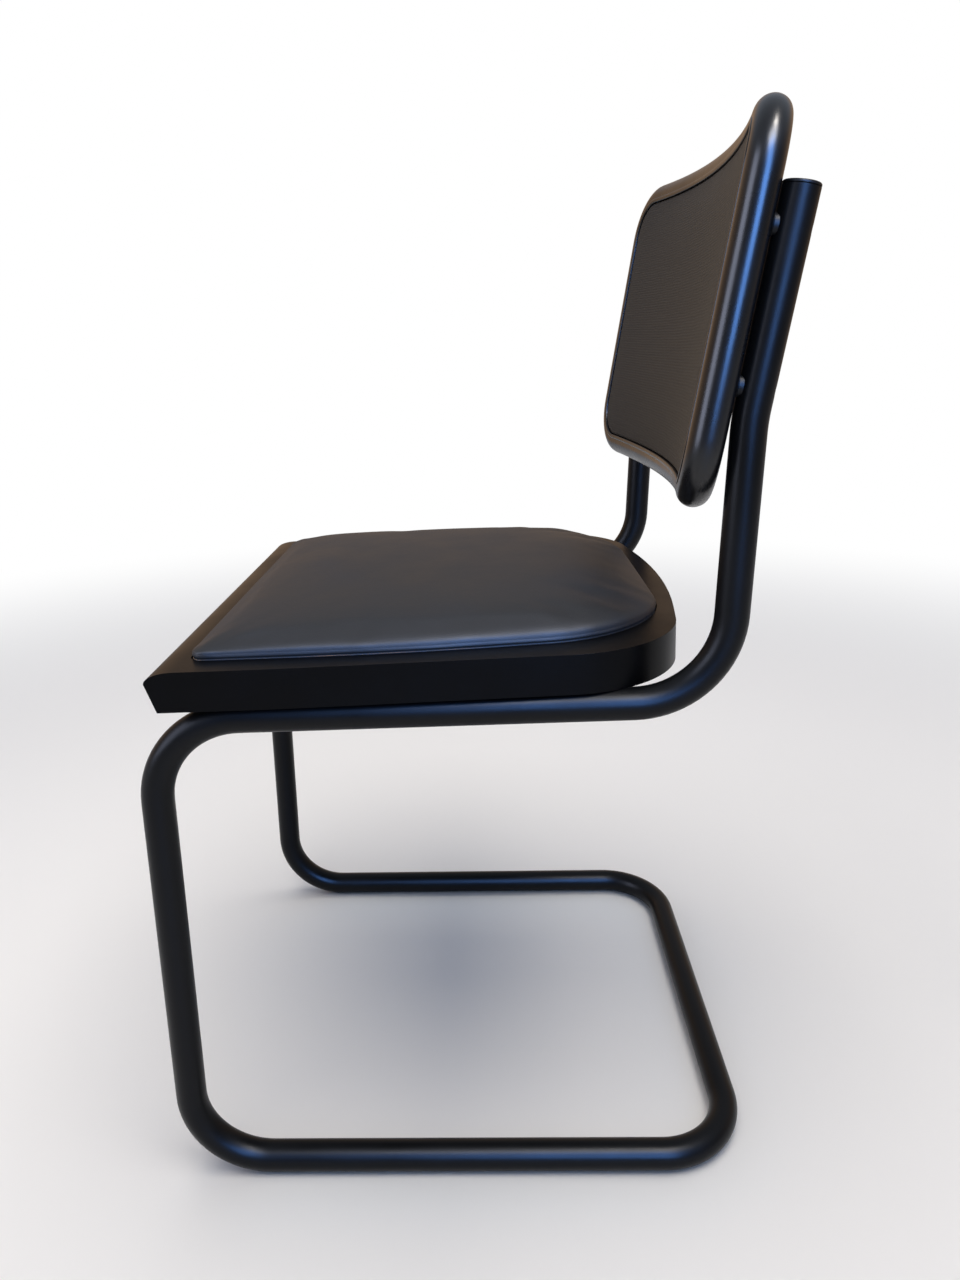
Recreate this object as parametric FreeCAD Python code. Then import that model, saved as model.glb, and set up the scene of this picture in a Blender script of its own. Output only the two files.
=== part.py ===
import FreeCAD, Part
import math
import os

# A cantilever dining chair: one bent steel tube, an upholstered seat and back in black wooden frames.
# The front faces -Y, +Z is up and X runs across. The origin is on the floor under the middle of the chair.

# Steel tube, seen from the side
base_depth = 494.0
tube_spacing = 419.4
tube_diameter = 25.0
tube_wall = 2.0
seat_bend_radius = 70.0
base_bend_radius = 65.5
kink_radius = 150.0
rail_height_front = 422.0
rail_length = 431.0
seat_tilt = 1.12
front_lean = 0.48
lower_back_lean = 1.85
back_lean = 9.38
kink_height = 634.9
upright_height = 781.4

# End plugs
plug_cap = 2.6
plug_cap_round = 1.2
plug_stem_length = 16.0
plug_stem_wall = 2.2
plug_clearance = 0.15

# Wooden seat frame, as seen from above with its nose at zero
seat_width = 459.0
seat_thickness = 31.0
seat_nose_setback = 7.2
seat_parallel_depth = 90.0
seat_corner_depth = 390.5
seat_corner_half_width = 217.6
seat_rear_point = 422.0
seat_flank_radius = 1500.0
seat_corner_radius = 95.0
seat_rear_radius = 900.0
seat_edge_round = 1.2
nose_length = 22.0
nose_height = 22.5
nose_undercut = 7.3
seat_ledge = 16.0

# Upholstered seat pad, in the same plan
pad_front = 26.2
pad_half_width = 204.4
pad_waist_depth = 179.7
pad_corner_half_width = 182.1
pad_rear = 394.6
pad_front_radius = 11.0
pad_edge_min_radius = 1.0
pad_flank_radius = 1400.0
pad_corner_radius = 110.0
pad_edge_height = 15.5
pad_edge_roll = 9.0
pad_crown = 14.3
pad_end_fall = 0.85
pad_end_drop = 5.5
pad_foot_round = 0.8
pad_board_thickness = 8.0
pad_cover_thickness = 1.0
pad_cover_turn_under = 14.0
pad_clearance = 0.5

# Joints and fixings in the seat
dowel_diameter = 10.0
dowel_length = 50.0
dowel_pitch = 18.0
glue_clearance = 0.1
front_screw_depth = 80.0
rear_screw_depth = 281.0
board_screw_diameter = 4.0
board_screw_length = 20.0
board_screw_head = 8.0
board_screw_sink = 9.0
board_screw_depths = (108.0, 200.0, 320.0)

# Machine screws and their threaded inserts
screw_diameter = 6.0
screw_clearance = 0.25
screw_head_diameter = 11.0
screw_head_sink = 1.2
screw_head_clearance = 0.05
screw_socket = 4.0
screw_socket_depth = 2.0
screw_engagement = 13.0
insert_diameter = 9.0
insert_flange_diameter = 12.0
insert_flange = 1.2
insert_length_seat = 15.0
insert_length_back = 10.5
thread_clearance = 0.05

# Wooden back frame, measured along the lean and up from the kink of the tube
back_width = 454.6
back_bottom = -69.0
back_height = 276.2
back_curve_radius = 920.0
back_corner_radius = 53.5
back_thickness = 25.0
back_gap = 2.2
back_frame_width = 33.0
back_front_land = 19.0
back_rebate_depth = 8.0
back_land_round = 1.5
back_dowel_diameter = 8.0
back_dowel_length = 40.0
back_dowel_offset = 4.0
back_dowel_pitch = 15.0
lower_screw_up = 21.0
upper_screw_up = 123.5
washer_diameter = 18.0
washer_thickness = 1.6
washer_clearance = 0.4
pocket_floor_gap = 3.5
spacer_diameter = 15.0

# Upholstered back panel
panel_seam = 0.8
panel_board_thickness = 4.0
panel_cover_thickness = 1.0
panel_crown = 7.0
panel_recess = 0.5
panel_edge_round = 3.0
rear_seam = 0.3
rear_cover_thickness = 0.8
rear_recess = 2.0
rear_edge_round = 2.0

# Shares of the way along a crowned form at which its sections stand, and how far a cutter runs past
loft_shares = (0, 0.06, 0.16, 0.32, 0.5, 0.68, 0.84, 0.94, 1)
cut_margin = 1.0

tube_radius = tube_diameter / 2
bullnose = back_thickness / 2
front_rail_depth = pad_front + seat_ledge


def vec(x, y, z):
    return FreeCAD.Vector(x, y, z)


def degrees_tan(angle):
    return math.tan(math.radians(angle))


def corner_arc(before, corner, after, radius):
    """Start, middle and end of the arc that rounds one corner, kept within its two sides."""
    back = (before - corner).normalize()
    ahead = (after - corner).normalize()
    half = back.getAngle(ahead) / 2
    room = 0.495 * min(before.distanceToPoint(corner), after.distanceToPoint(corner))
    reach = min(radius / math.tan(half), room)
    fitted = reach * math.tan(half)
    inward = (back + ahead).normalize()
    centre = corner + inward * (fitted / math.sin(half))
    return [corner + back * reach, centre - inward * fitted, corner + ahead * reach]


def rounded_wire(points, radii, closed):
    """Straight runs through the points, joined by a tangent arc wherever a radius is given."""
    count = len(points)
    stops = []
    for i in range(count):
        at_end = not closed and i in (0, count - 1)
        if at_end or radii[i] == 0:
            stops.append([points[i]])
        else:
            stops.append(corner_arc(points[i - 1], points[i], points[(i + 1) % count], radii[i]))
    edges = []
    for i in range(count):
        if len(stops[i]) == 3:
            edges.append(Part.Arc(stops[i][0], stops[i][1], stops[i][2]).toShape())
        if closed or i < count - 1:
            following = stops[(i + 1) % count][0]
            edges.append(Part.LineSegment(stops[i][-1], following).toShape())
    return Part.Wire(edges)


def sweep(path, profile):
    return path.makePipeShell([profile], True, False)


def prism(wire, direction):
    return Part.Face(wire).extrude(direction)


def rod(radius, length, start, direction):
    return Part.makeCylinder(radius, length, start, direction)


def turned(outline):
    """A solid turned about the z axis from its (radius, height) outline."""
    points = [vec(0, radius, height) for radius, height in outline]
    return Part.Face(Part.makePolygon(points + [points[0]])).revolve(vec(0, 0, 0), vec(0, 0, 1), 360)


def eased(shape, radius, wanted):
    """Round the edges that the test picks out."""
    edges = [edge for edge in shape.Edges if wanted(edge)]
    return shape.makeFillet(radius, edges) if edges else shape


def group(shapes):
    return Part.makeCompound(shapes)


# Tube

def side_corners():
    """Where the tube's straight runs would meet, as (y, z), from the foot of the crossbar to the top."""
    lean = math.radians(front_lean)
    bend = base_bend_radius
    front_foot = bend + tube_radius - base_depth / 2 - bend * (1 + math.sin(lean)) / math.cos(lean)
    rear_foot = base_depth / 2 - tube_radius
    front_top = front_foot + (rail_height_front - tube_radius) * degrees_tan(front_lean)
    rear_rail = front_top + rail_length * math.cos(math.radians(seat_tilt))
    rail_height_rear = rail_height_front + rail_length * math.sin(math.radians(seat_tilt))
    kink = rear_rail + (kink_height - rail_height_rear) * degrees_tan(lower_back_lean)
    top = kink + (upright_height - kink_height) * degrees_tan(back_lean)
    return [
        (rear_foot, tube_radius),
        (front_foot, tube_radius),
        (front_top, rail_height_front),
        (rear_rail, rail_height_rear),
        (kink, kink_height),
        (top, upright_height),
    ]


def tube_path():
    half = tube_spacing / 2
    side = side_corners()
    left = [vec(-half, y, z) for y, z in reversed(side)]
    right = [vec(half, y, z) for y, z in side]
    up_one_side = [base_bend_radius, base_bend_radius, seat_bend_radius, seat_bend_radius, kink_radius, 0]
    radii = up_one_side[::-1] + up_one_side
    return rounded_wire(left + right, radii, False)


def tube_solid(path, radius):
    start = path.Edges[0]
    at = start.valueAt(start.FirstParameter)
    along = start.tangentAt(start.FirstParameter)
    return sweep(path, Part.Wire(Part.makeCircle(radius, at, along)))


def bare_tube():
    path = tube_path()
    return tube_solid(path, tube_radius).cut(tube_solid(path, tube_radius - tube_wall))


def seat_placement():
    """Puts the seat, drawn flat with its nose at y = 0 and its underside at z = 0, on the rails."""
    front_top = side_corners()[2]
    tilt = math.radians(seat_tilt)
    along = vec(0, math.cos(tilt), math.sin(tilt)) * seat_nose_setback
    above = vec(0, -math.sin(tilt), math.cos(tilt)) * tube_radius
    base = vec(0, front_top[0], front_top[1]) + along + above
    return FreeCAD.Placement(base, FreeCAD.Rotation(vec(1, 0, 0), seat_tilt))


def back_placement():
    """Puts the back, drawn upright with y to the rear and z up from the kink, on the leaning uprights."""
    kink = side_corners()[4]
    return FreeCAD.Placement(vec(0, kink[0], kink[1]), FreeCAD.Rotation(vec(1, 0, 0), -back_lean))


def placed(shape, placement):
    moved = shape.copy()
    moved.Placement = placement.multiply(moved.Placement)
    return moved


def seat_screw_spots():
    half = tube_spacing / 2
    return [vec(side * half, depth, 0) for side in (-1, 1) for depth in (front_screw_depth, rear_screw_depth)]


def back_screw_spots():
    half = tube_spacing / 2
    return [vec(side * half, 0, up) for side in (-1, 1) for up in (lower_screw_up, upper_screw_up)]


def seat_screw_heads():
    """The middle of each head's flat top, just inside the underside of a rail."""
    return [spot - vec(0, 0, tube_diameter - screw_head_sink) for spot in seat_screw_spots()]


def back_screw_heads():
    return [spot + vec(0, tube_radius - screw_head_sink, 0) for spot in back_screw_spots()]


def pocket_floors():
    """The middle of the floor of each pocket that is let into the rear of a stile."""
    return [spot - vec(0, tube_radius + pocket_floor_gap, 0) for spot in back_screw_spots()]


def tube_frame():
    """One tube with a clearance hole through both walls and a sunk seat for each screw."""
    tube = bare_tube()
    for head in seat_screw_heads():
        tube = tube.cut(placed(at_spot(screw_bore(), head), seat_placement()))
    for head in back_screw_heads():
        tube = tube.cut(placed(turned_forward(screw_bore(), head), back_placement()))
    return tube


def end_plug(side):
    """A moulded plug: a low rounded cap and a hollow stem that grips the bore."""
    cap = Part.makeCylinder(tube_radius, plug_cap)
    cap = eased(cap, plug_cap_round, lambda edge: edge.BoundBox.ZMin > plug_cap / 2)
    stem_radius = tube_radius - tube_wall - plug_clearance
    stem = rod(stem_radius, plug_stem_length, vec(0, 0, -plug_stem_length), vec(0, 0, 1))
    hollow = rod(stem_radius - plug_stem_wall, plug_stem_length, vec(0, 0, -plug_stem_length), vec(0, 0, 1))
    plug = cap.fuse(stem.cut(hollow))
    top = side_corners()[5]
    place = FreeCAD.Placement(
        vec(side * tube_spacing / 2, top[0], top[1]), FreeCAD.Rotation(vec(1, 0, 0), -back_lean)
    )
    return placed(plug, place)


# Fixings

def head_cone(clearance):
    """The cone under a countersunk head, at 45 degrees."""
    outer = screw_head_diameter / 2
    inner = screw_diameter / 2
    return Part.makeCone(outer + clearance, inner + clearance, outer - inner)


def machine_screw(length):
    """A countersunk socket screw that points up, with the flat top of its head at z = 0."""
    reach = screw_socket / math.sqrt(3)
    corners = [
        vec(reach * math.cos(math.radians(60 * i)), reach * math.sin(math.radians(60 * i)), 0)
        for i in range(6)
    ]
    socket = prism(Part.makePolygon(corners + [corners[0]]), vec(0, 0, screw_socket_depth))
    shank = rod(screw_diameter / 2, length, vec(0, 0, 0), vec(0, 0, 1))
    return head_cone(0).fuse(shank).cut(socket)


def screw_bore():
    """What one screw takes out of the tube: its hole, the cone for its head and the way in to that."""
    hole = screw_diameter / 2 + screw_clearance
    head = screw_head_diameter / 2 + screw_head_clearance
    return turned([
        (0, -screw_head_sink - cut_margin),
        (head, -screw_head_sink - cut_margin),
        (head, 0),
        (hole, head - hole),
        (hole, tube_diameter + cut_margin),
        (0, tube_diameter + cut_margin),
    ])


def thread_insert(length):
    """A flanged brass insert, opening at z = 0 and reaching up into the wood."""
    body = rod(insert_diameter / 2, length, vec(0, 0, 0), vec(0, 0, 1))
    flange = rod(insert_flange_diameter / 2, insert_flange, vec(0, 0, 0), vec(0, 0, 1))
    bore = rod(screw_diameter / 2 + thread_clearance, length, vec(0, 0, 0), vec(0, 0, 1))
    return body.fuse(flange).cut(bore)


def insert_pocket(length):
    pocket = rod(insert_diameter / 2 + glue_clearance, length + glue_clearance, vec(0, 0, 0), vec(0, 0, 1))
    flange = rod(insert_flange_diameter / 2 + glue_clearance, insert_flange, vec(0, 0, 0), vec(0, 0, 1))
    return pocket.fuse(flange)


def turned_forward(shape, spot):
    """Turn a fixing that points up so that it points to the front, and set it at the spot."""
    return placed(shape, FreeCAD.Placement(spot, FreeCAD.Rotation(vec(1, 0, 0), 90)))


def at_spot(shape, spot):
    return placed(shape, FreeCAD.Placement(spot, FreeCAD.Rotation()))


# Wooden seat frame

def mirrored_loop(right_corners, right_radii, height):
    """A closed outline from its right-hand corners, listed front to rear; one on the axis is used once."""
    right = [vec(x, y, height) for x, y in right_corners]
    off_axis = [i for i in range(len(right)) if right[i].x > 0]
    left = [vec(-right[i].x, right[i].y, height) for i in reversed(off_axis)]
    radii = list(right_radii) + [right_radii[i] for i in reversed(off_axis)]
    return rounded_wire(right + left, radii, True)


def seat_outline(height):
    corners = [
        (seat_width / 2, 0),
        (seat_width / 2, seat_parallel_depth),
        (seat_corner_half_width, seat_corner_depth),
        (0, seat_rear_point),
    ]
    return mirrored_loop(corners, [0, seat_flank_radius, seat_corner_radius, seat_rear_radius], height)


def nose_profile():
    """The side view of the slab: an elliptical nose over a slanted undercut."""
    far = seat_rear_point + seat_width
    half = seat_width
    centre = vec(-half, nose_length, nose_height)
    tip = vec(-half, 0, nose_height)
    brow = vec(-half, nose_length, seat_thickness)
    ellipse = Part.Ellipse(tip, brow, centre)
    curve = Part.ArcOfEllipse(ellipse, 0, math.pi / 2).toShape()
    foot = vec(-half, nose_undercut, 0)
    edges = [
        curve,
        Part.LineSegment(brow, vec(-half, far, seat_thickness)).toShape(),
        Part.LineSegment(vec(-half, far, seat_thickness), vec(-half, far, 0)).toShape(),
        Part.LineSegment(vec(-half, far, 0), foot).toShape(),
        Part.LineSegment(foot, tip).toShape(),
    ]
    return prism(Part.Wire(Part.__sortEdges__(edges)), vec(2 * half, 0, 0))


def is_rim_edge(edge):
    """An outer edge of the slab that a hand would feel: not an upright one, nor where the nose meets the top."""
    box = edge.BoundBox
    upright = box.XLength < 1e-3 and box.YLength < 1e-3
    across = box.YLength < 1e-3 and box.ZLength < 1e-3 and abs(box.YMin - nose_length) < 1e-3
    return not upright and not across


def seat_slab():
    slab = prism(seat_outline(0), vec(0, 0, seat_thickness)).common(nose_profile())
    return eased(slab, seat_edge_round, is_rim_edge)


def pad_outline(inset, height):
    """The pad's outline, set in all round."""
    corners = [
        (pad_half_width - inset, pad_front + inset),
        (pad_half_width - inset, pad_waist_depth),
        (pad_corner_half_width - inset, pad_rear - inset),
    ]
    radii = [max(pad_front_radius - inset, pad_edge_min_radius), pad_flank_radius, pad_corner_radius - inset]
    return mirrored_loop(corners, radii, height)


def seat_frame():
    """The whole frame in one piece, with its opening and the step that the pad sits in."""
    frame = seat_slab()
    opening = prism(pad_outline(seat_ledge, -cut_margin), vec(0, 0, seat_thickness + 2 * cut_margin))
    step_depth = pad_board_thickness + pad_cover_thickness
    step = prism(pad_outline(-pad_clearance, seat_thickness - step_depth), vec(0, 0, 2 * step_depth))
    return frame.cut(opening).cut(step)


def front_rail_block():
    return Part.makeBox(2 * seat_width, 2 * front_rail_depth, 4 * seat_thickness,
                        vec(-seat_width, -front_rail_depth, -2 * seat_thickness))


def seat_dowel_spots():
    """Two dowels at each end of the front rail, at half the frame's thickness."""
    arm = (seat_width / 2 + pad_half_width - seat_ledge) / 2
    spots = []
    for side in (-1, 1):
        for step in (-0.5, 0.5):
            x = side * arm + step * dowel_pitch
            spots.append(vec(x, front_rail_depth - dowel_length / 2, seat_thickness / 2 - dowel_diameter / 4))
    return spots


def seat_dowels(clearance):
    length = dowel_length + 2 * clearance
    return [
        rod(dowel_diameter / 2 + clearance, length, spot - vec(0, clearance, 0), vec(0, 1, 0))
        for spot in seat_dowel_spots()
    ]


def board_screw_spots():
    """Three screws up each side, in the middle of the ledge."""
    spots = []
    for depth in board_screw_depths:
        waist = max(0, depth - pad_waist_depth)
        taper = (pad_half_width - pad_corner_half_width) / (pad_rear - pad_waist_depth)
        half = pad_half_width - waist * taper - seat_ledge / 2
        inner_curve = max(0, depth - (pad_rear - pad_corner_radius))
        half = half - (pad_corner_radius - math.sqrt(pad_corner_radius ** 2 - inner_curve ** 2))
        spots.append(vec(-half, depth, 0))
        spots.append(vec(half, depth, 0))
    return spots


def board_screw():
    """A small countersunk wood screw that points up, with the top of its head at z = 0."""
    cone = Part.makeCone(board_screw_head / 2, board_screw_diameter / 2, board_screw_head / 4)
    shank = rod(board_screw_diameter / 2, board_screw_length, vec(0, 0, 0), vec(0, 0, 1))
    return cone.fuse(shank)


def board_screw_bore():
    well = rod(board_screw_head / 2 + glue_clearance, board_screw_sink, vec(0, 0, 0), vec(0, 0, 1))
    cone = Part.makeCone(board_screw_head / 2 + glue_clearance, board_screw_diameter / 2 + glue_clearance,
                         board_screw_head / 4, vec(0, 0, board_screw_sink))
    bore = rod(board_screw_diameter / 2 + glue_clearance, board_screw_length, vec(0, 0, board_screw_sink),
               vec(0, 0, 1))
    return well.fuse(cone).fuse(bore)


def drilled_seat_frame():
    frame = seat_frame()
    for dowel in seat_dowels(glue_clearance):
        frame = frame.cut(dowel)
    for spot in seat_screw_spots():
        frame = frame.cut(at_spot(insert_pocket(insert_length_seat), spot))
    for spot in board_screw_spots():
        frame = frame.cut(at_spot(board_screw_bore(), spot))
    return frame


# Seat pad

def pad_dome(drop):
    """A block with a shallow domed top, as upright sections from front to rear."""
    half = pad_half_width
    foot = seat_thickness
    sections = []
    for share in loft_shares:
        y = pad_front + share * (pad_rear - pad_front)
        ends = (2 * share - 1) ** 4
        edge = foot + pad_edge_height - drop - pad_end_drop * ends
        full = pad_crown * (1 - pad_end_fall * ends)
        sections.append(Part.Wire([
            Part.LineSegment(vec(-half, y, foot), vec(half, y, foot)).toShape(),
            Part.LineSegment(vec(half, y, foot), vec(half, y, edge)).toShape(),
            Part.Arc(vec(half, y, edge), vec(0, y, edge + full), vec(-half, y, edge)).toShape(),
            Part.LineSegment(vec(-half, y, edge), vec(-half, y, foot)).toShape(),
        ]))
    return Part.makeLoft(sections, True, False)


def pad_form(inset, drop):
    """The crowned pad, with a rolled top edge."""
    block = prism(pad_outline(inset, seat_thickness), vec(0, 0, pad_edge_height + 2 * pad_crown))
    form = block.common(pad_dome(drop))
    return eased(form, pad_edge_roll - drop, lambda edge: edge.BoundBox.ZMin > seat_thickness + pad_edge_roll / 2)


def seat_board():
    """Plywood that fills the step, raised by the cover that is turned under it."""
    base = seat_thickness - pad_board_thickness
    board = prism(pad_outline(pad_cover_thickness, base), vec(0, 0, pad_board_thickness))
    for spot in board_screw_spots():
        board = board.cut(at_spot(board_screw_bore(), spot))
    return board


def seat_foam():
    return pad_form(pad_cover_thickness, pad_cover_thickness)


def seat_cover(foam):
    """The sewn skin: over the foam, down the edge of the board and turned under it."""
    base = seat_thickness - pad_board_thickness - pad_cover_thickness
    skirt_height = pad_board_thickness + pad_cover_thickness
    skirt = prism(pad_outline(0, base), vec(0, 0, skirt_height))
    board_space = prism(pad_outline(pad_cover_thickness, base + pad_cover_thickness),
                        vec(0, 0, pad_board_thickness))
    window = prism(pad_outline(pad_cover_turn_under, base - cut_margin),
                   vec(0, 0, pad_cover_thickness + 2 * cut_margin))
    dome = eased(pad_form(0, 0), pad_foot_round, lambda edge: edge.BoundBox.ZMax < seat_thickness + pad_foot_round)
    cover = dome.fuse(skirt).cut(foam).cut(board_space).cut(window)
    for spot in board_screw_spots():
        cover = cover.cut(at_spot(board_screw_bore(), spot))
    return cover


# Wooden back frame

def back_geometry():
    """Angle where the corners start, and how far in front of the kink the curve's axis lies."""
    turn_radius = back_corner_radius - bullnose
    stile_x = back_width / 2 - bullnose
    stile_y = -(tube_radius + back_gap + bullnose)
    angle = math.asin(stile_x / math.hypot(back_curve_radius, turn_radius))
    angle = angle - math.atan(turn_radius / back_curve_radius)
    axis_y = stile_y - back_curve_radius * math.cos(angle) + turn_radius * math.sin(angle)
    return angle, axis_y, turn_radius


def on_curve(angle, offset, extra, up):
    """A point beside the curved back: rearward offset from its middle surface, extra run along the tangent."""
    axis_y = back_geometry()[1]
    radius = back_curve_radius + offset
    x = radius * math.sin(angle) + extra * math.cos(angle)
    y = axis_y + radius * math.cos(angle) - extra * math.sin(angle)
    return vec(x, y, up)


def half_ring_path(upper):
    """The middle line of one bent half: up a stile, round two corners and down the other stile."""
    angle, _, turn = back_geometry()
    joint = back_bottom + back_height / 2
    rail = back_bottom + back_height - bullnose if upper else back_bottom + bullnose
    sign = 1 if upper else -1
    corner = rail - sign * turn
    slack = turn * math.sqrt(0.5)
    right = [
        on_curve(angle, 0, turn, joint),
        on_curve(angle, 0, turn, corner),
        on_curve(angle, 0, slack, corner + sign * slack),
        on_curve(angle, 0, 0, rail),
    ]
    left = [vec(-point.x, point.y, point.z) for point in right]
    edges = [
        Part.LineSegment(right[0], right[1]).toShape(),
        Part.Arc(right[1], right[2], right[3]).toShape(),
        Part.Arc(right[3], on_curve(0, 0, 0, rail), left[3]).toShape(),
        Part.Arc(left[3], left[2], left[1]).toShape(),
        Part.LineSegment(left[1], left[0]).toShape(),
    ]
    return Part.Wire(edges)


def ring_section(points_and_arcs):
    """A closed section at the right-hand joint, from (outward, rearward) points; an arc has a middle point."""
    angle, _, turn = back_geometry()
    joint = back_bottom + back_height / 2
    edges = []
    for points in points_and_arcs:
        spots = [on_curve(angle, rear, turn + out, joint) for out, rear in points]
        if len(spots) == 3:
            edges.append(Part.Arc(spots[0], spots[1], spots[2]).toShape())
        else:
            edges.append(Part.LineSegment(spots[0], spots[1]).toShape())
    return Part.Wire(edges)


def frame_section():
    """A bullnose outside, a step for the panel at the front and a square inner edge."""
    half = bullnose
    inner = bullnose - back_frame_width
    land = bullnose - back_front_land
    floor = back_rebate_depth - half
    soft = back_land_round
    slack = soft * (1 - math.sqrt(0.5))
    return ring_section([
        [(inner, half), (0, half)],
        [(0, half), (half * math.sqrt(0.5), half * math.sqrt(0.5)), (half, 0)],
        [(half, 0), (half * math.sqrt(0.5), -half * math.sqrt(0.5)), (0, -half)],
        [(0, -half), (land + soft, -half)],
        [(land + soft, -half), (land + slack, slack - half), (land, soft - half)],
        [(land, soft - half), (land, floor)],
        [(land, floor), (inner, floor)],
        [(inner, floor), (inner, half)],
    ])


def trim_section(inset):
    """Everything further out than the inset from the outer edge, deep enough to cut any panel."""
    start = bullnose - inset
    outer = 2 * bullnose
    deep = 2 * back_thickness
    return ring_section([
        [(start, deep), (outer, deep)],
        [(outer, deep), (outer, -deep)],
        [(outer, -deep), (start, -deep)],
        [(start, -deep), (start, deep)],
    ])


def back_half(upper):
    """One bent half of the back frame, with room for the dowels, washers and inserts."""
    half = sweep(half_ring_path(upper), frame_section())
    for dowel in back_dowels(glue_clearance):
        half = half.cut(dowel)
    for floor in pocket_floors():
        pocket = rod(washer_diameter / 2 + washer_clearance, tube_radius, floor, vec(0, 1, 0))
        half = half.cut(pocket).cut(turned_forward(insert_pocket(insert_length_back), floor))
    return half


def back_dowels(clearance):
    angle, _, turn = back_geometry()
    joint = back_bottom + back_height / 2
    reach = back_dowel_length / 2 + clearance
    dowels = []
    for step in (0.25, -0.75):
        rear = 0 if step > 0 else back_dowel_offset
        spot = on_curve(angle, rear, turn + step * back_dowel_pitch, joint - reach)
        for side in (-1, 1):
            start = vec(side * spot.x, spot.y, spot.z)
            dowels.append(rod(back_dowel_diameter / 2 + clearance, 2 * reach, start, vec(0, 0, 1)))
    return dowels


def curved_plate(front, rear):
    """A plate that follows the back's curve, larger than the frame, between two rearward offsets."""
    angle = back_geometry()[0]
    spare = back_corner_radius + bullnose
    low = back_bottom - bullnose
    wide = [on_curve(angle, front, spare, low), on_curve(angle, rear, spare, low)]
    near = [on_curve(angle, front, 0, low), on_curve(angle, rear, 0, low)]
    flip = [vec(-p.x, p.y, p.z) for p in wide + near]
    edges = [
        Part.LineSegment(wide[0], near[0]).toShape(),
        Part.Arc(near[0], on_curve(0, front, 0, low), flip[2]).toShape(),
        Part.LineSegment(flip[2], flip[0]).toShape(),
        Part.LineSegment(flip[0], flip[1]).toShape(),
        Part.LineSegment(flip[1], flip[3]).toShape(),
        Part.Arc(flip[3], on_curve(0, rear, 0, low), near[1]).toShape(),
        Part.LineSegment(near[1], wide[1]).toShape(),
        Part.LineSegment(wide[1], wide[0]).toShape(),
    ]
    return prism(Part.Wire(edges), vec(0, 0, back_height + back_thickness))


def trimmed(body, inset):
    """Keep what lies inside the frame, at the inset from its outer edge."""
    for upper in (True, False):
        body = body.cut(sweep(half_ring_path(upper), trim_section(inset)))
    middle = max(body.Solids, key=lambda solid: -abs(solid.CenterOfMass.z - back_bottom - back_height / 2))
    return middle


# Back panel

def crowned_form(lower):
    """The front of the panel: flush at its edges, full in the middle, as horizontal sections."""
    angle, _, turn = back_geometry()
    edge = panel_recess - bullnose + lower
    behind = back_thickness
    out = turn + bullnose - back_front_land
    sections = []
    for share in loft_shares:
        up = back_bottom + back_front_land + share * (back_height - 2 * back_front_land)
        full = panel_crown * (1 - (2 * share - 1) ** 4)
        side = on_curve(angle, edge, out, up)
        middle = on_curve(0, edge - full, 0, up)
        rear = on_curve(angle, behind, out, up)
        rear_middle = on_curve(0, behind, 0, up)
        sections.append(Part.Wire([
            Part.Arc(side, middle, vec(-side.x, side.y, up)).toShape(),
            Part.LineSegment(vec(-side.x, side.y, up), vec(-rear.x, rear.y, up)).toShape(),
            Part.Arc(vec(-rear.x, rear.y, up), rear_middle, rear).toShape(),
            Part.LineSegment(rear, side).toShape(),
        ]))
    return Part.makeLoft(sections, True, False)


def rebate_floor():
    return back_rebate_depth - bullnose


def board_front():
    return rebate_floor() - panel_board_thickness


def panel_core(inset, lower):
    """All that the front cover holds: the foam and the board behind it."""
    behind = curved_plate(rebate_floor(), 3 * back_thickness)
    return trimmed(crowned_form(lower).cut(behind), inset)


def front_rim(edge):
    """True for an edge all round the front of the panel."""
    middle = edge.CenterOfMass
    axis_y = back_geometry()[1]
    offset = math.hypot(middle.x, middle.y - axis_y) - back_curve_radius
    return offset < board_front() and edge.Length > panel_edge_round


def cover_inset():
    return back_front_land + panel_seam


def core_inset():
    return cover_inset() + panel_cover_thickness


def back_front_cover(core):
    outer = eased(panel_core(cover_inset(), 0), panel_edge_round, front_rim)
    return outer.cut(core)


def back_board():
    return trimmed(curved_plate(board_front(), rebate_floor()), core_inset())


def rear_block(inset, rear):
    return trimmed(curved_plate(rebate_floor(), rear), back_frame_width + inset)


def rear_rim(edge):
    middle = edge.CenterOfMass
    axis_y = back_geometry()[1]
    offset = math.hypot(middle.x, middle.y - axis_y) - back_curve_radius
    return offset > 0 and edge.Length > rear_edge_round and edge.BoundBox.DiagonalLength > back_thickness


def back_rear_foam():
    return rear_block(rear_seam + rear_cover_thickness, bullnose - rear_recess - rear_cover_thickness)


def back_rear_cover(foam):
    outer = eased(rear_block(rear_seam, bullnose - rear_recess), rear_edge_round, rear_rim)
    return outer.cut(foam)


def ring(diameter, length, start):
    """A plain ring with a clearance hole for the screw, running to the rear."""
    body = rod(diameter / 2, length, start, vec(0, 1, 0))
    return body.cut(rod(screw_diameter / 2 + screw_clearance, length, start, vec(0, 1, 0)))


def back_washers():
    """Flat washers in the stiles' pockets; their rims show beside the tube."""
    return [ring(washer_diameter, washer_thickness, floor) for floor in pocket_floors()]


def back_spacers():
    """Short round spacers between the washers and the tube, hollowed to fit the tube."""
    spacers = []
    for floor in pocket_floors():
        start = floor + vec(0, washer_thickness, 0)
        body = ring(spacer_diameter, pocket_floor_gap, start)
        tube = rod(tube_radius, 2 * tube_diameter, vec(floor.x, 0, floor.z - tube_diameter), vec(0, 0, 1))
        spacers.append(body.cut(tube))
    return spacers


# Assembly

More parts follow.
